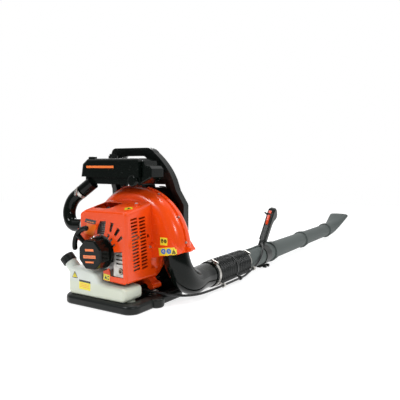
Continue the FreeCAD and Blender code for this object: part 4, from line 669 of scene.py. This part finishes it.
# ---- studio ----------------------------------------------------------------------
@dataclass
class Studio:
    """Camera, floor and soft lights."""

    camera_at: Point = (1.0075, -1.1455, 0.435)
    turn_deg: float = 32.0
    dip_deg: float = 4.24
    lens_mm: float = 42.48
    room_light: float = 0.16
    lamps: dict[str, tuple[Point, float, float]] = field(default_factory=lambda: {
        "key": ((-0.8, -2.4, 2.2), 0.9, 40.0), "fill": ((2.4, -1.2, 1.5), 0.5, 16.0),
        "top": ((0.2, 0.2, 2.6), 0.9, 24.0), "back": ((-1.6, 2.2, 1.8), 0.8, 22.0),
        "strip": ((2.0, 1.3, 2.0), 0.5, 22.0)})
    backdrop: Point = (-0.53, 0.85, 0.0)
    backdrop_edges: Spot = (-0.1, 0.62)
    lamps_aim: Point = (0.1, 0.2, 0.2)
    floor_z: float = -0.0002

    def make_camera(self) -> None:
        """Place the camera."""
        data = bpy.data.cameras.new("camera")
        data.lens = self.lens_mm
        data.sensor_width = 36.0
        data.clip_end = 60.0
        camera = linked("camera", data)
        camera.location = self.camera_at
        camera.rotation_euler = (math.radians(90 - self.dip_deg), 0.0, math.radians(self.turn_deg))
        bpy.context.scene.camera = camera

    def make_floor(self) -> None:
        """Lay the pale floor."""
        half = FLOOR_SIDE / 2
        corners = [(x * half, y * half, self.floor_z) for x, y in ((-1, -1), (1, -1), (1, 1), (-1, 1))]
        mesh = bpy.data.meshes.new("floor")
        mesh.from_pydata(corners, [], [(0, 1, 2, 3)])
        s = Surface("floor_white")
        s.fixed(Base_Color=(0.45, 0.45, 0.45), Roughness=0.95)
        s.fixed(Emission_Color=(1.0, 1.0, 1.0), Emission_Strength=0.76)
        mesh.materials.append(s.material)
        linked("floor", mesh)

    def make_lights(self) -> None:
        """Hang the soft boxes and set the room's light."""
        middle = Vector(self.lamps_aim)
        for name, (spot, size, power) in self.lamps.items():
            lamp = bpy.data.lights.new(name, "AREA")
            lamp.shape = "DISK"
            lamp.size = size
            lamp.energy = power
            holder = linked(name, lamp)
            holder.location = spot
            holder.rotation_euler = (middle - Vector(spot)).to_track_quat("-Z", "Y").to_euler()
        self.make_room()

    def make_room(self) -> None:
        """Make the room: a white backdrop behind the machine and a dimmer room round it."""
        world = bpy.data.worlds.new("room")
        world.use_nodes = True
        nodes, links = world.node_tree.nodes, world.node_tree.links
        aim = nodes.new("ShaderNodeTexCoord")
        toward = nodes.new("ShaderNodeVectorMath")
        toward.operation = "DOT_PRODUCT"
        toward.inputs[1].default_value = self.backdrop
        spread = nodes.new("ShaderNodeMapRange")
        values = (*self.backdrop_edges, self.room_light, 1.0)
        for slot, value in zip(("From Min", "From Max", "To Min", "To Max"), values):
            spread.inputs[slot].default_value = value
        links.new(aim.outputs["Generated"], toward.inputs[0])
        links.new(toward.outputs["Value"], spread.inputs["Value"])
        links.new(spread.outputs["Result"], nodes["Background"].inputs["Strength"])
        nodes["Background"].inputs["Color"].default_value = (1.0, 1.0, 1.0, 1.0)
        bpy.context.scene.world = world
        bpy.context.scene.view_settings.view_transform = "Standard"

    def build(self) -> None:
        """Make the whole studio."""
        self.make_camera()
        self.make_floor()
        self.make_lights()
        log.info("studio ready")


# ---- hose, cable and rope --------------------------------------------------------
@dataclass
class Hose:
    """Ribbed hose in two halves, which meet at the ring in its middle."""

    ribs: int = 8
    round_steps: int = 72
    rib_steps: int = 12
    wall: float = 0.0018
    crest_depth: float = 0.0058

    def half(self, node: str, ahead: str, behind: str) -> Piece:
        """Make one half in the place of its CAD node.

        Args:
            node: the CAD node.
            ahead: the body at the half's near end.
            behind: the body at its far end.

        Returns:
            The piece.
        """
        low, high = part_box(node)
        centre = (low + high) / 2
        outer = (high.x - low.x) / 2
        rows = self.ribs * self.rib_steps
        profile: list[tuple[float, float]] = []
        for i in range(rows + 1):
            phase = (i / self.rib_steps) % 1.0
            crest = (0.5 - 0.5 * math.cos(2 * math.pi * phase)) ** 0.7
            radius = outer - self.crest_depth + self.crest_depth * crest
            profile.append((radius, low.y + (high.y - low.y) * i / rows))
        profile += [(r - self.wall, y) for r, y in reversed(profile)]
        points = [Vector((centre.x + r * math.cos(a), y, centre.z + r * math.sin(a))) for r, y in profile
                  for a in (2 * math.pi * k / self.round_steps for k in range(self.round_steps))]
        count = len(profile)
        faces = band_faces(count, self.round_steps)
        last = (count - 1) * self.round_steps
        nexts = [(k + 1) % self.round_steps for k in range(self.round_steps)]
        faces += [(last + k, last + nexts[k], nexts[k], k) for k in range(self.round_steps)]
        piece = solid(f"{node}_ribs", points, [tuple(reversed(f)) for f in faces], Finish.RUBBER, 80.0)
        bend(piece, node, node, ahead, behind)
        return piece

    def build(self) -> None:
        """Make both halves."""
        self.half("bellows_front", "machine", "hose_ring")
        self.half("bellows_rear", "hose_ring", "blow_tube")


@dataclass
class ThrottleCable:
    """Sheathed throttle cable from the carburettor, along the hose, to the handle."""

    radius: float = 0.004
    engine: tuple[Point, ...] = (
        (-98, -26, 264), (-98, -4, 248), (-97, 1, 200), (-88, -1, 118), (-48, -6, 72), (16, -8, 52),
        (78, -4, 45), (130, 4, 41), (171, 22, 34), (202, 60, 27), (217, 112, 22), (223, 166, 21),
        (224, 222, 20), (223, 276, 19))
    hose_a: tuple[Point, ...] = ((223, 276, 19), (222.4, 308, 18.4), (222.9, 342, 18.6), (222, 393, 18))
    hose_b: tuple[Point, ...] = ((222, 393, 18), (221.4, 427, 17.6), (219, 470, 24), (216, 510, 30))
    tube: tuple[Point, ...] = (
        (216, 510, 30), (213, 550, 36), (212.5, 592, 57), (203, 632, 82), (190, 662, 98), (173, 686, 104))

    def fixed(self, node: str, route: Sequence[Point], body: str, length: float) -> None:
        """Make a stretch that stays on one body.

        Args:
            node: the CAD node it stands for.
            route: its control points in millimetres.
            body: the body it rides on.
            length: its real length in metres; not used.
        """
        piece = spline_curve(f"{node}_sheath", route, self.radius)
        piece.data.materials.append(Finish.CONDUIT.material)
        settle(piece, body, "rubber", node)

    def bending(self, node: str, route: Sequence[Point], bodies: Sequence[str], hose_node: str) -> None:
        """Make a stretch along one half of the hose, as a mesh.

        Args:
            node: the CAD node it stands for.
            route: its control points in millimetres.
            bodies: the two bodies it bends between.
            hose_node: the hose half.
        """
        piece = as_mesh(spline_curve(f"{node}_sheath", route, self.radius), Finish.CONDUIT)
        bend(piece, node, hose_node, *bodies)
        read_line(route)

    def build(self) -> None:
        """Make the four stretches."""
        self.fixed("cable_engine", self.engine, "machine", 0.708)
        self.bending("cable_front", self.hose_a, ("machine", "hose_ring"), "bellows_front")
        self.bending("cable_rear", self.hose_b, ("hose_ring", "blow_tube"), "bellows_rear")
        self.fixed("cable_tube", self.tube, "blow_tube", 0.201)


@dataclass
class StarterRope:
    """Twisted pull rope, from the guide to the handle."""

    strands: int = 3
    strand_r: float = 0.00095
    lay_r: float = 0.00088
    turns: float = 5.0
    steps: int = 90
    around: int = 8
    end_inset: float = 0.0015
    diameter: float = 0.0036

    def build(self) -> None:
        """Make the rope in the place of its CAD node."""
        low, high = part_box("starter_rope")
        foot = Vector((high.x - self.end_inset, (low.y + high.y) / 2, low.z + self.end_inset))
        tip = Vector((low.x + self.end_inset, foot.y, high.z - self.end_inset))
        line = read_line([tuple(p / MM) for p in (foot, foot.lerp(tip, 0.5), tip)])
        way = (tip - foot).normalized()
        side = Vector((0.0, 1.0, 0.0))
        normal = way.cross(side)
        points: list[Vector] = []
        faces: list[Face] = []
        for s in range(self.strands):
            base = len(points)
            for i in range(self.steps + 1):
                share = i / self.steps
                twist = 2 * math.pi * (share * self.turns + s / self.strands)
                at = min(int(share * (len(line) - 1)), len(line) - 2)
                here = line[at].lerp(line[at + 1], share * (len(line) - 1) - at)
                middle = here + (side * math.cos(twist) + normal * math.sin(twist)) * self.lay_r
                points += circle(middle, side, normal, self.strand_r, self.around)
            faces += [tuple(base + v for v in f) for f in band_faces(self.steps + 1, self.around)]
            faces.append(tuple(base + k for k in reversed(range(self.around))))
            faces.append(tuple(base + self.steps * self.around + k for k in range(self.around)))
        rope = solid("starter_rope_strands", points, faces, Finish.ROPE)
        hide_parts("starter_rope")
        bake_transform(rope)
        log.info("starter rope draws out with the pull handle")


# ---- harness ---------------------------------------------------------------------
@dataclass
class BackPad:
    """Stuffed pad against the wearer's back, with sewn channels and piping."""

    voxel: float = 0.005
    pressure: float = 4.0
    frames: int = 20
    swell: float = 0.006
    channels: tuple[float, ...] = (0.25, 0.5, 0.75)
    channel_depth: float = 0.0065
    channel_half: float = 0.007
    grid: tuple[int, int] = (24, 22)
    waist: float = 0.005
    corner_r: float = 0.012
    piping_r: float = 0.0026

    def block(self, low: Vector, high: Vector) -> Piece:
        """Return a pillow form a little smaller than the pad's space."""
        columns, rows = self.grid
        centre = (low + high) / 2
        half = (high - low) / 2 - Vector((0.004, 0.0, 0.004))
        points: list[Vector] = []
        for face in (0, 1):
            for r in range(rows + 1):
                for c in range(columns + 1):
                    u = c / columns * 2 - 1
                    v = r / rows * 2 - 1
                    crown = (1 - abs(u) ** 4) * (1 - abs(v) ** 4)
                    pull = self.waist * (1 - (u * u) ** 2)
                    x = centre.x + u * (half.x - 0.006 * (1 - v ** 4))
                    z = centre.z + v * (half.z - pull)
                    dip = 1 - crown
                    y = high.y - 0.004 - 0.010 * dip if face else low.y + 0.001 + 0.004 * dip
                    points.append(Vector((x, y, z)))
        span = columns + 1
        back = (rows + 1) * span
        faces = band_faces(rows + 1, span, False)
        faces += [tuple(back + v for v in reversed(f)) for f in faces]
        rim = list(range(span)) + [r * span + columns for r in range(1, rows + 1)]
        rim += [rows * span + c for c in reversed(range(columns))]
        rim += [r * span for r in reversed(range(1, rows))]
        faces += [(rim[i], rim[i - 1], back + rim[i - 1], back + rim[i]) for i in range(len(rim))]
        return solid("back_pad_cushion", points, faces, Finish.PADDING, 180.0)

    def inflate(self, pad: Piece, low: Vector, high: Vector) -> None:
        """Swell the pad by a short cloth simulation, kept inside its space.

        Args:
            pad: the pad.
            low: lowest corner of its space.
            high: highest corner of its space.
        """
        remesh = pad.modifiers.new("remesh", "REMESH")
        remesh.mode = "VOXEL"
        remesh.voxel_size = self.voxel
        self.apply(pad)
        rest = [v.co.copy() for v in pad.data.vertices]
        cloth = pad.modifiers.new("cloth", "CLOTH")
        cloth.settings.use_pressure = True
        cloth.settings.uniform_pressure_force = self.pressure
        cloth.settings.effector_weights.gravity = 0.0
        scene = bpy.context.scene
        for step in range(1, self.frames + 1):
            scene.frame_set(step)
        self.apply(pad)
        scene.frame_set(1)
        for vertex, home in zip(pad.data.vertices, rest):
            move = vertex.co - home
            if move.length > self.swell:
                vertex.co = home + move.normalized() * self.swell
            vertex.co = Vector(min(max(c, a + 0.0005), b) for c, a, b in zip(vertex.co, low, high))

    @staticmethod
    def apply(piece: Piece) -> None:
        """Replace a piece's mesh with what its modifiers make."""
        finish = piece.data.materials[0]
        mesh = evaluated(piece)
        piece.modifiers.clear()
        piece.data = mesh
        mesh.materials.clear()
        mesh.materials.append(finish)
        smooth(mesh)

    def sew(self, pad: Piece, low: Vector, high: Vector) -> None:
        """Press the sewn channels into the wearer's side."""
        for vertex in pad.data.vertices:
            if vertex.co.y < (low.y + high.y) / 2:
                continue
            share = (vertex.co.x - low.x) / (high.x - low.x)
            for line in self.channels:
                off = abs(share - line) * (high.x - low.x)
                if off < self.channel_half * 2:
                    vertex.co.y -= self.channel_depth * math.exp(-(off / self.channel_half) ** 2 * 2)

    def build(self) -> None:
        """Make the pad and its piping."""
        low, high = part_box("back_pad")
        pad = self.block(low, high)
        self.inflate(pad, low, high)
        self.sew(pad, low, high)
        rounder = pad.modifiers.new("smooth", "SUBSURF")
        rounder.levels = rounder.render_levels = 1
        settle(pad, "machine", "fabric", "back_pad")
        inset = self.corner_r
        y = (low.y + high.y) / 2
        x0, x1, z0, z1 = low.x + 0.009, high.x - 0.009, low.z + 0.008, high.z - 0.008
        rim = []
        for cx, cz, start in ((x1 - inset, z0 + inset, -90), (x1 - inset, z1 - inset, 0),
                              (x0 + inset, z1 - inset, 90), (x0 + inset, z0 + inset, 180)):
            rim += [Vector((cx + inset * math.cos(math.radians(start + t)), y,
                            cz + inset * math.sin(math.radians(start + t)))) for t in range(0, 91, 15)]
        piping = ring_tube("back_pad_piping", rim, self.piping_r, Finish.PIPING)
        settle(piping, "machine", "fabric")


def ring_tube(name: str, loop: Sequence[Vector], radius: float, finish: Finish,
              count: int = 10) -> Piece:
    """Return a closed round tube along a loop of points.

    Args:
        name: the piece's name.
        loop: points of the loop.
        radius: the tube's radius in metres.
        finish: its finish.
        count: vertices round the tube.

    Returns:
        The piece.
    """
    points: list[Vector] = []
    total = len(loop)
    flat = (loop[1] - loop[0]).cross(loop[total // 3] - loop[0]).normalized()
    for i in range(total):
        tangent = (loop[(i + 1) % total] - loop[i - 1]).normalized()
        side = tangent.cross(flat).normalized()
        points += circle(loop[i], side, flat, radius, count)
    faces = band_faces(total, count)
    last = (total - 1) * count
    faces += [(last + k, last + (k + 1) % count, (k + 1) % count, k) for k in range(count)]
    return solid(name, points, faces, finish)


@dataclass
class ShoulderStrap:
    """Padded shoulder strap with bound edges, a ridged pad and an adjuster."""

    side: int
    foot_xy: Spot = (112.0, 156.0)
    head: Point = (60.0, 128.1, 364.0)
    steps: int = 240
    pad_end: float = 0.68
    adjuster_at: float = 0.72
    web_half: Spot = (0.0125, 0.0012)
    pad_swell: Spot = (0.0085, 0.0024)
    binding_off: float = 0.0205

    def route(self) -> list[Point]:
        """Return the strap's control points in millimetres."""
        hx, hy, hz = self.head
        fx, fy = self.foot_xy
        s = self.side
        return [(s * hx, hy, hz), (s * hx * 1.05, 195, 340), (s * hx * 1.2, 211, 270),
                (s * hx * 1.45, 209, 190), (s * fx * 0.95, 193, 120), (s * fx, fy, 70)]

    def build(self) -> None:
        """Make the padded band, its binding and buckle."""
        tag = "left" if self.side < 0 else "right"
        node = f"shoulder_strap_{tag}"
        line = read_line(self.route())

        def section(share: float, angle: float) -> Spot:
            """Return the band's outline: flat webbing that swells where it is padded."""
            taper = min(1.0, (self.pad_end - share) / 0.05) if share < self.pad_end else 0.0
            taper = max(0.0, taper) * min(1.0, share / 0.06)
            half_w, half_t = (web + swell * taper for web, swell in zip(self.web_half, self.pad_swell))
            c, s = math.cos(angle), math.sin(angle)
            ridge = 1.0 + 0.18 * taper * math.sin(share * math.pi * 46) * abs(s)
            across = half_w * math.copysign(abs(c) ** 0.45, c)
            return across, half_t * ridge * math.copysign(abs(s) ** 0.7, s)

        dense = [line[int(i)].lerp(line[min(int(i) + 1, len(line) - 1)], i % 1)
                 for i in (k * (len(line) - 1) / self.steps for k in range(self.steps + 1))]
        band = sweep(node + "_band", dense, section, 28, Finish.WEBBING)
        settle(band, "machine", "fabric", node)
        frames = directions(dense, Vector((1, 0, 0)))
        last = int(self.steps * (self.pad_end - 0.03))
        for edge in (-1, 1):
            cord_line = [dense[i] + frames[i][1] * edge * self.binding_off for i in range(16, last)]
            binding = sweep(f"{node}_binding_{'a' if edge < 0 else 'b'}", cord_line,
                            lambda share, a: (0.0014 * math.cos(a), 0.0026 * math.sin(a)), 10, Finish.PIPING)
            settle(binding, "machine", "fabric")
        at = int(self.steps * self.adjuster_at)
        self.buckle(f"{node}_adjuster", dense[at], frames[at])

    def buckle(self, name: str, at: Vector, axes: tuple[Vector, Vector, Vector]) -> None:
        """Make the ladder adjuster: a frame with three bars.

        Args:
            name: the piece's name.
            at: its middle.
            axes: the strap's directions there.
        """
        along, side, normal = axes
        points: list[Vector] = []
        faces: list[Face] = []
        bars = [(0.0, y, 0.034, 0.004) for y in (-0.012, 0.0, 0.012)]
        bars += [(x, 0.0, 0.005, 0.028) for x in (-0.0165, 0.0165)]
        for x, y, width, depth in bars:
            base = len(points)
            for dz in (-0.0022, 0.0022):
                grow = 0.0 if dz < 0 else -0.0008
                for dx, dy in ((-1, -1), (1, -1), (1, 1), (-1, 1)):
                    across = side * (x + dx * (width / 2 + grow))
                    points.append(at + across + along * (y + dy * (depth / 2 + grow)) + normal * dz)
            faces += [tuple(base + v for v in f) for f in
                      ((3, 2, 1, 0), (4, 5, 6, 7), (0, 1, 5, 4), (1, 2, 6, 5), (2, 3, 7, 6), (3, 0, 4, 7))]
        settle(solid(name, points, faces, Finish.BLACK, 30.0), "machine", "black_plastic")


# ---- labels ----------------------------------------------------------------------
class Mark(Enum):
    """Plain printed shapes; none of them is lettering."""

    BAR = "bar"
    DISC = "disc"
    TRIANGLE = "triangle"


@dataclass
class Label:
    """A label laid on a CAD node's surface."""

    name: str
    nodes: tuple[str, ...]
    centre: Point
    facing: Point
    size: Spot
    film: Finish
    turn_deg: float = 0.0
    shear: float = 0.0
    outline: Mark = Mark.BAR
    marks: tuple[tuple[Mark, float, float, float, float, Finish], ...] = ()
    lift: float = 0.00025
    mark_lift: float = 0.0002
    reach: float = 0.06

    def axes(self) -> tuple[Vector, Vector, Vector]:
        """Return the label's directions: right, up and out."""
        out = Vector(self.facing).normalized()
        up = Vector((0, 0, 1)) if abs(out.z) < 0.8 else Vector((0, 1, 0))
        right = up.cross(out).normalized()
        up = out.cross(right)
        spin = Matrix.Rotation(math.radians(self.turn_deg), 3, out)
        return spin @ right, spin @ up, out

    def skin(self) -> BVHTree:
        """Return the surface that the label lies on."""
        points: list[Vector] = []
        faces: list[Face] = []
        for node in self.nodes:
            mesh = frame["nodes"][node].data
            base = len(points)
            points += [v.co.copy() for v in mesh.vertices]
            faces += [tuple(base + v for v in p.vertices) for p in mesh.polygons]
        return BVHTree.FromPolygons(points, faces)

    def outline_grid(self, kind: Mark, width: float, height: float) -> tuple[list[Spot], list[Face]]:
        """Return a flat shape as a fine grid.

        Args:
            kind: the shape.
            width: its width in metres.
            height: its height in metres.

        Returns:
            Flat points and faces.
        """
        if kind is Mark.DISC:
            rings, around = 4, 24
            flat = [(0.0, 0.0)] + [(width / 2 * r / rings * math.cos(2 * math.pi * k / around),
                                    height / 2 * r / rings * math.sin(2 * math.pi * k / around))
                                   for r in range(1, rings + 1) for k in range(around)]
            faces = [(0, 1 + k, 1 + (k + 1) % around) for k in range(around)]
            faces += [tuple(1 + v for v in (f[3], f[2], f[1], f[0])) for f in band_faces(rings, around)]
            return flat, faces
        steps = 12
        flat = []
        for r in range(steps + 1):
            v = r / steps
            half = width / 2 * (1 - v if kind is Mark.TRIANGLE else 1.0)
            flat += [(half * (2 * c / steps - 1) + self.shear * (v - 0.5) * height, (v - 0.5) * height)
                     for c in range(steps + 1)]
        return flat, band_faces(steps + 1, steps + 1, False)

    def lay(self, name: str, kind: Mark, spot: Spot, size: Spot, lift: float, film: Finish,
            body: str) -> None:
        """Lay one shape on the surface as a thin closed sheet.

        Args:
            name: the piece's name.
            kind: the shape.
            spot: its place on the label in metres.
            size: its width and height in metres.
            lift: how far it stands off the surface.
            film: its finish.
            body: the body it rides on.
        """
        right, up, out = self.axes()
        middle = Vector(self.centre) * MM
        skin = self.skin()
        flat, faces = self.outline_grid(kind, *size)
        top: list[Vector] = []
        for x, y in flat:
            start = middle + right * (x + spot[0]) + up * (y + spot[1]) + out * self.reach
            hit = skin.ray_cast(start, -out, 2 * self.reach)[0]
            top.append((hit if hit is not None else start - out * self.reach) + out * lift)
        count = len(top)
        under = [p - out * lift * 0.9 for p in top]
        used = dict.fromkeys((f[i], f[(i + 1) % len(f)]) for f in faces for i in range(len(f)))
        sides = [(b, a, a + count, b + count) for a, b in used if (b, a) not in used]
        shell = list(faces) + [tuple(v + count for v in reversed(f)) for f in faces] + sides
        settle(solid(name, top + under, shell, film, 60.0), body, "black_plastic")

    def build(self) -> None:
        """Lay the label and its printed marks."""
        body = frame["nodes"][self.nodes[0]]["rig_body"]
        size = (self.size[0] * MM, self.size[1] * MM)
        self.lay(self.name, self.outline, (0.0, 0.0), size, self.lift, self.film, body)
        for i, (kind, x, y, width, height, film) in enumerate(self.marks):
            self.lay(f"{self.name}_mark_{i + 1}", kind, (x * MM, y * MM), (width * MM, height * MM),
                     self.lift + self.mark_lift, film, body)


def labels() -> list[Label]:
    """Return every label and plate: plain panels, bars, rings and triangles."""
    bar, disc, tri = Mark.BAR, Mark.DISC, Mark.TRIANGLE
    ink, paper, blue, orange = Finish.LABEL_BLACK, Finish.LABEL_WHITE, Finish.LABEL_BLUE, Finish.LABEL_ORANGE
    yellow = Finish.LABEL_YELLOW
    case = ("fan_case_front", "fan_case_rear")
    cover, tank, starter = ("engine_cover",), ("fuel_tank",), ("starter_housing",)
    return [
        Label("amber_panel", cover, (-40, -105, 238), (0, -1, 0), (40, 34), Finish.PANEL, -8, 0.25),
        Label("name_plate_blank", cover, (-38, -105, 263), (0, -1, 0), (44, 12), ink, -6, 0.3, bar,
              ((bar, 0, -2, 34, 2.0, orange),), 0.0005),
        Label("case_label_upper", case, (153, 12, 201), (0.12, -1, 0), (27, 24), yellow, 0, 0, bar,
              ((disc, -6, 1, 10, 12, ink), (disc, -6, 1, 6, 8, yellow), (disc, 6, 1, 10, 12, ink),
               (disc, 6, 1, 6, 8, yellow))),
        Label("case_label_lower", case, (168, 12, 171), (0.25, -1, 0), (66, 24), yellow, 7, 0, bar,
              ((disc, -16, 1, 18, 17, blue), (disc, 4, 1, 18, 17, blue), (disc, -16, 1, 8, 8, paper),
               (disc, 4, 1, 8, 8, paper), (tri, 22, 0, 15, 14, ink), (tri, 22, -0.5, 9, 8, yellow))),
        Label("roof_label", cover, (80, -66, 308), (0, -0.2, 1), (24, 24), yellow, 40, 0, bar,
              ((tri, 0, 1, 12, 11, ink), (bar, 0, -8, 14, 2, ink))),
        Label("front_corner_label", cover, (25, -105, 97), (0, -1, 0), (25, 19), yellow, -6, 0, bar,
              ((tri, -3, 0, 10, 10, ink), (bar, 7, 4, 6, 3, ink), (bar, 7, -4, 6, 3, ink))),
        Label("tank_warning", tank, (-96, -118, 94), (0, -1, 0), (25, 22), ink, 0, 0, tri,
              ((tri, 0, -1.0, 18, 15, yellow), (disc, 0, -5, 3.4, 3.4, ink), (bar, 0, 0.5, 2, 6, ink))),
        Label("tank_label", tank, (-54, -118, 65), (0, -1, 0), (48, 29), yellow, -2, 0, bar,
              ((bar, 0, 11.5, 48, 6, ink), (bar, 0, 3, 38, 1.2, orange), (bar, 0, -2, 38, 1.2, orange),
               (bar, 0, -7, 38, 1.2, orange))),
        Label("lid_stripe", ("air_cleaner_cover",), (-67, -32, 429), (0, -1, 0), (118, 7.5), orange),
        Label("starter_stripe", starter, (0, -150, 164), (0, -1, 0), (50, 9), orange, 4, 0, bar,
              ((bar, 0, 0, 44, 1.2, ink),)),
        Label("starter_stripe_upper", starter, (0, -150, 184), (0, -1, 0), (34, 7), orange, 4),
        Label("starter_stripe_lower", starter, (0, -150, 148), (0, -1, 0), (34, 5), orange, 4),
    ]


# ---- frame nodes -----------------------------------------------------------------
@dataclass
class NodeDresser:
    """Gives every node of the frame its finish and smooth shading."""

    sharp_deg: float = 28.0

    def build(self) -> None:
        """Dress every node."""
        slots = {part["node"]: part["material_slot"] for part in frame["record"]["subparts"]}
        for name, node in frame["nodes"].items():
            finish = NODE_FINISH.get(name, SLOT_FINISH[slots[name]])
            node.data.materials.clear()
            node.data.materials.append(finish.material)
            smooth(node.data)
            node.data.set_sharp_from_angle(angle=math.radians(self.sharp_deg))
            log.info("%s is %s", name, finish.name.lower())


def main() -> None:
    """Build the studio and every piece in order."""
    logging.basicConfig(level=logging.INFO, format="%(name)s: %(message)s")
    Studio().build()
    ThrottleCable().build()
    StarterRope().build()
    NodeDresser().build()
    Hose().build()
    BackPad().build()
    for side in (-1, 1):
        ShoulderStrap(side).build()
    for label in labels():
        label.build()


if __name__ == "__main__":
    main()
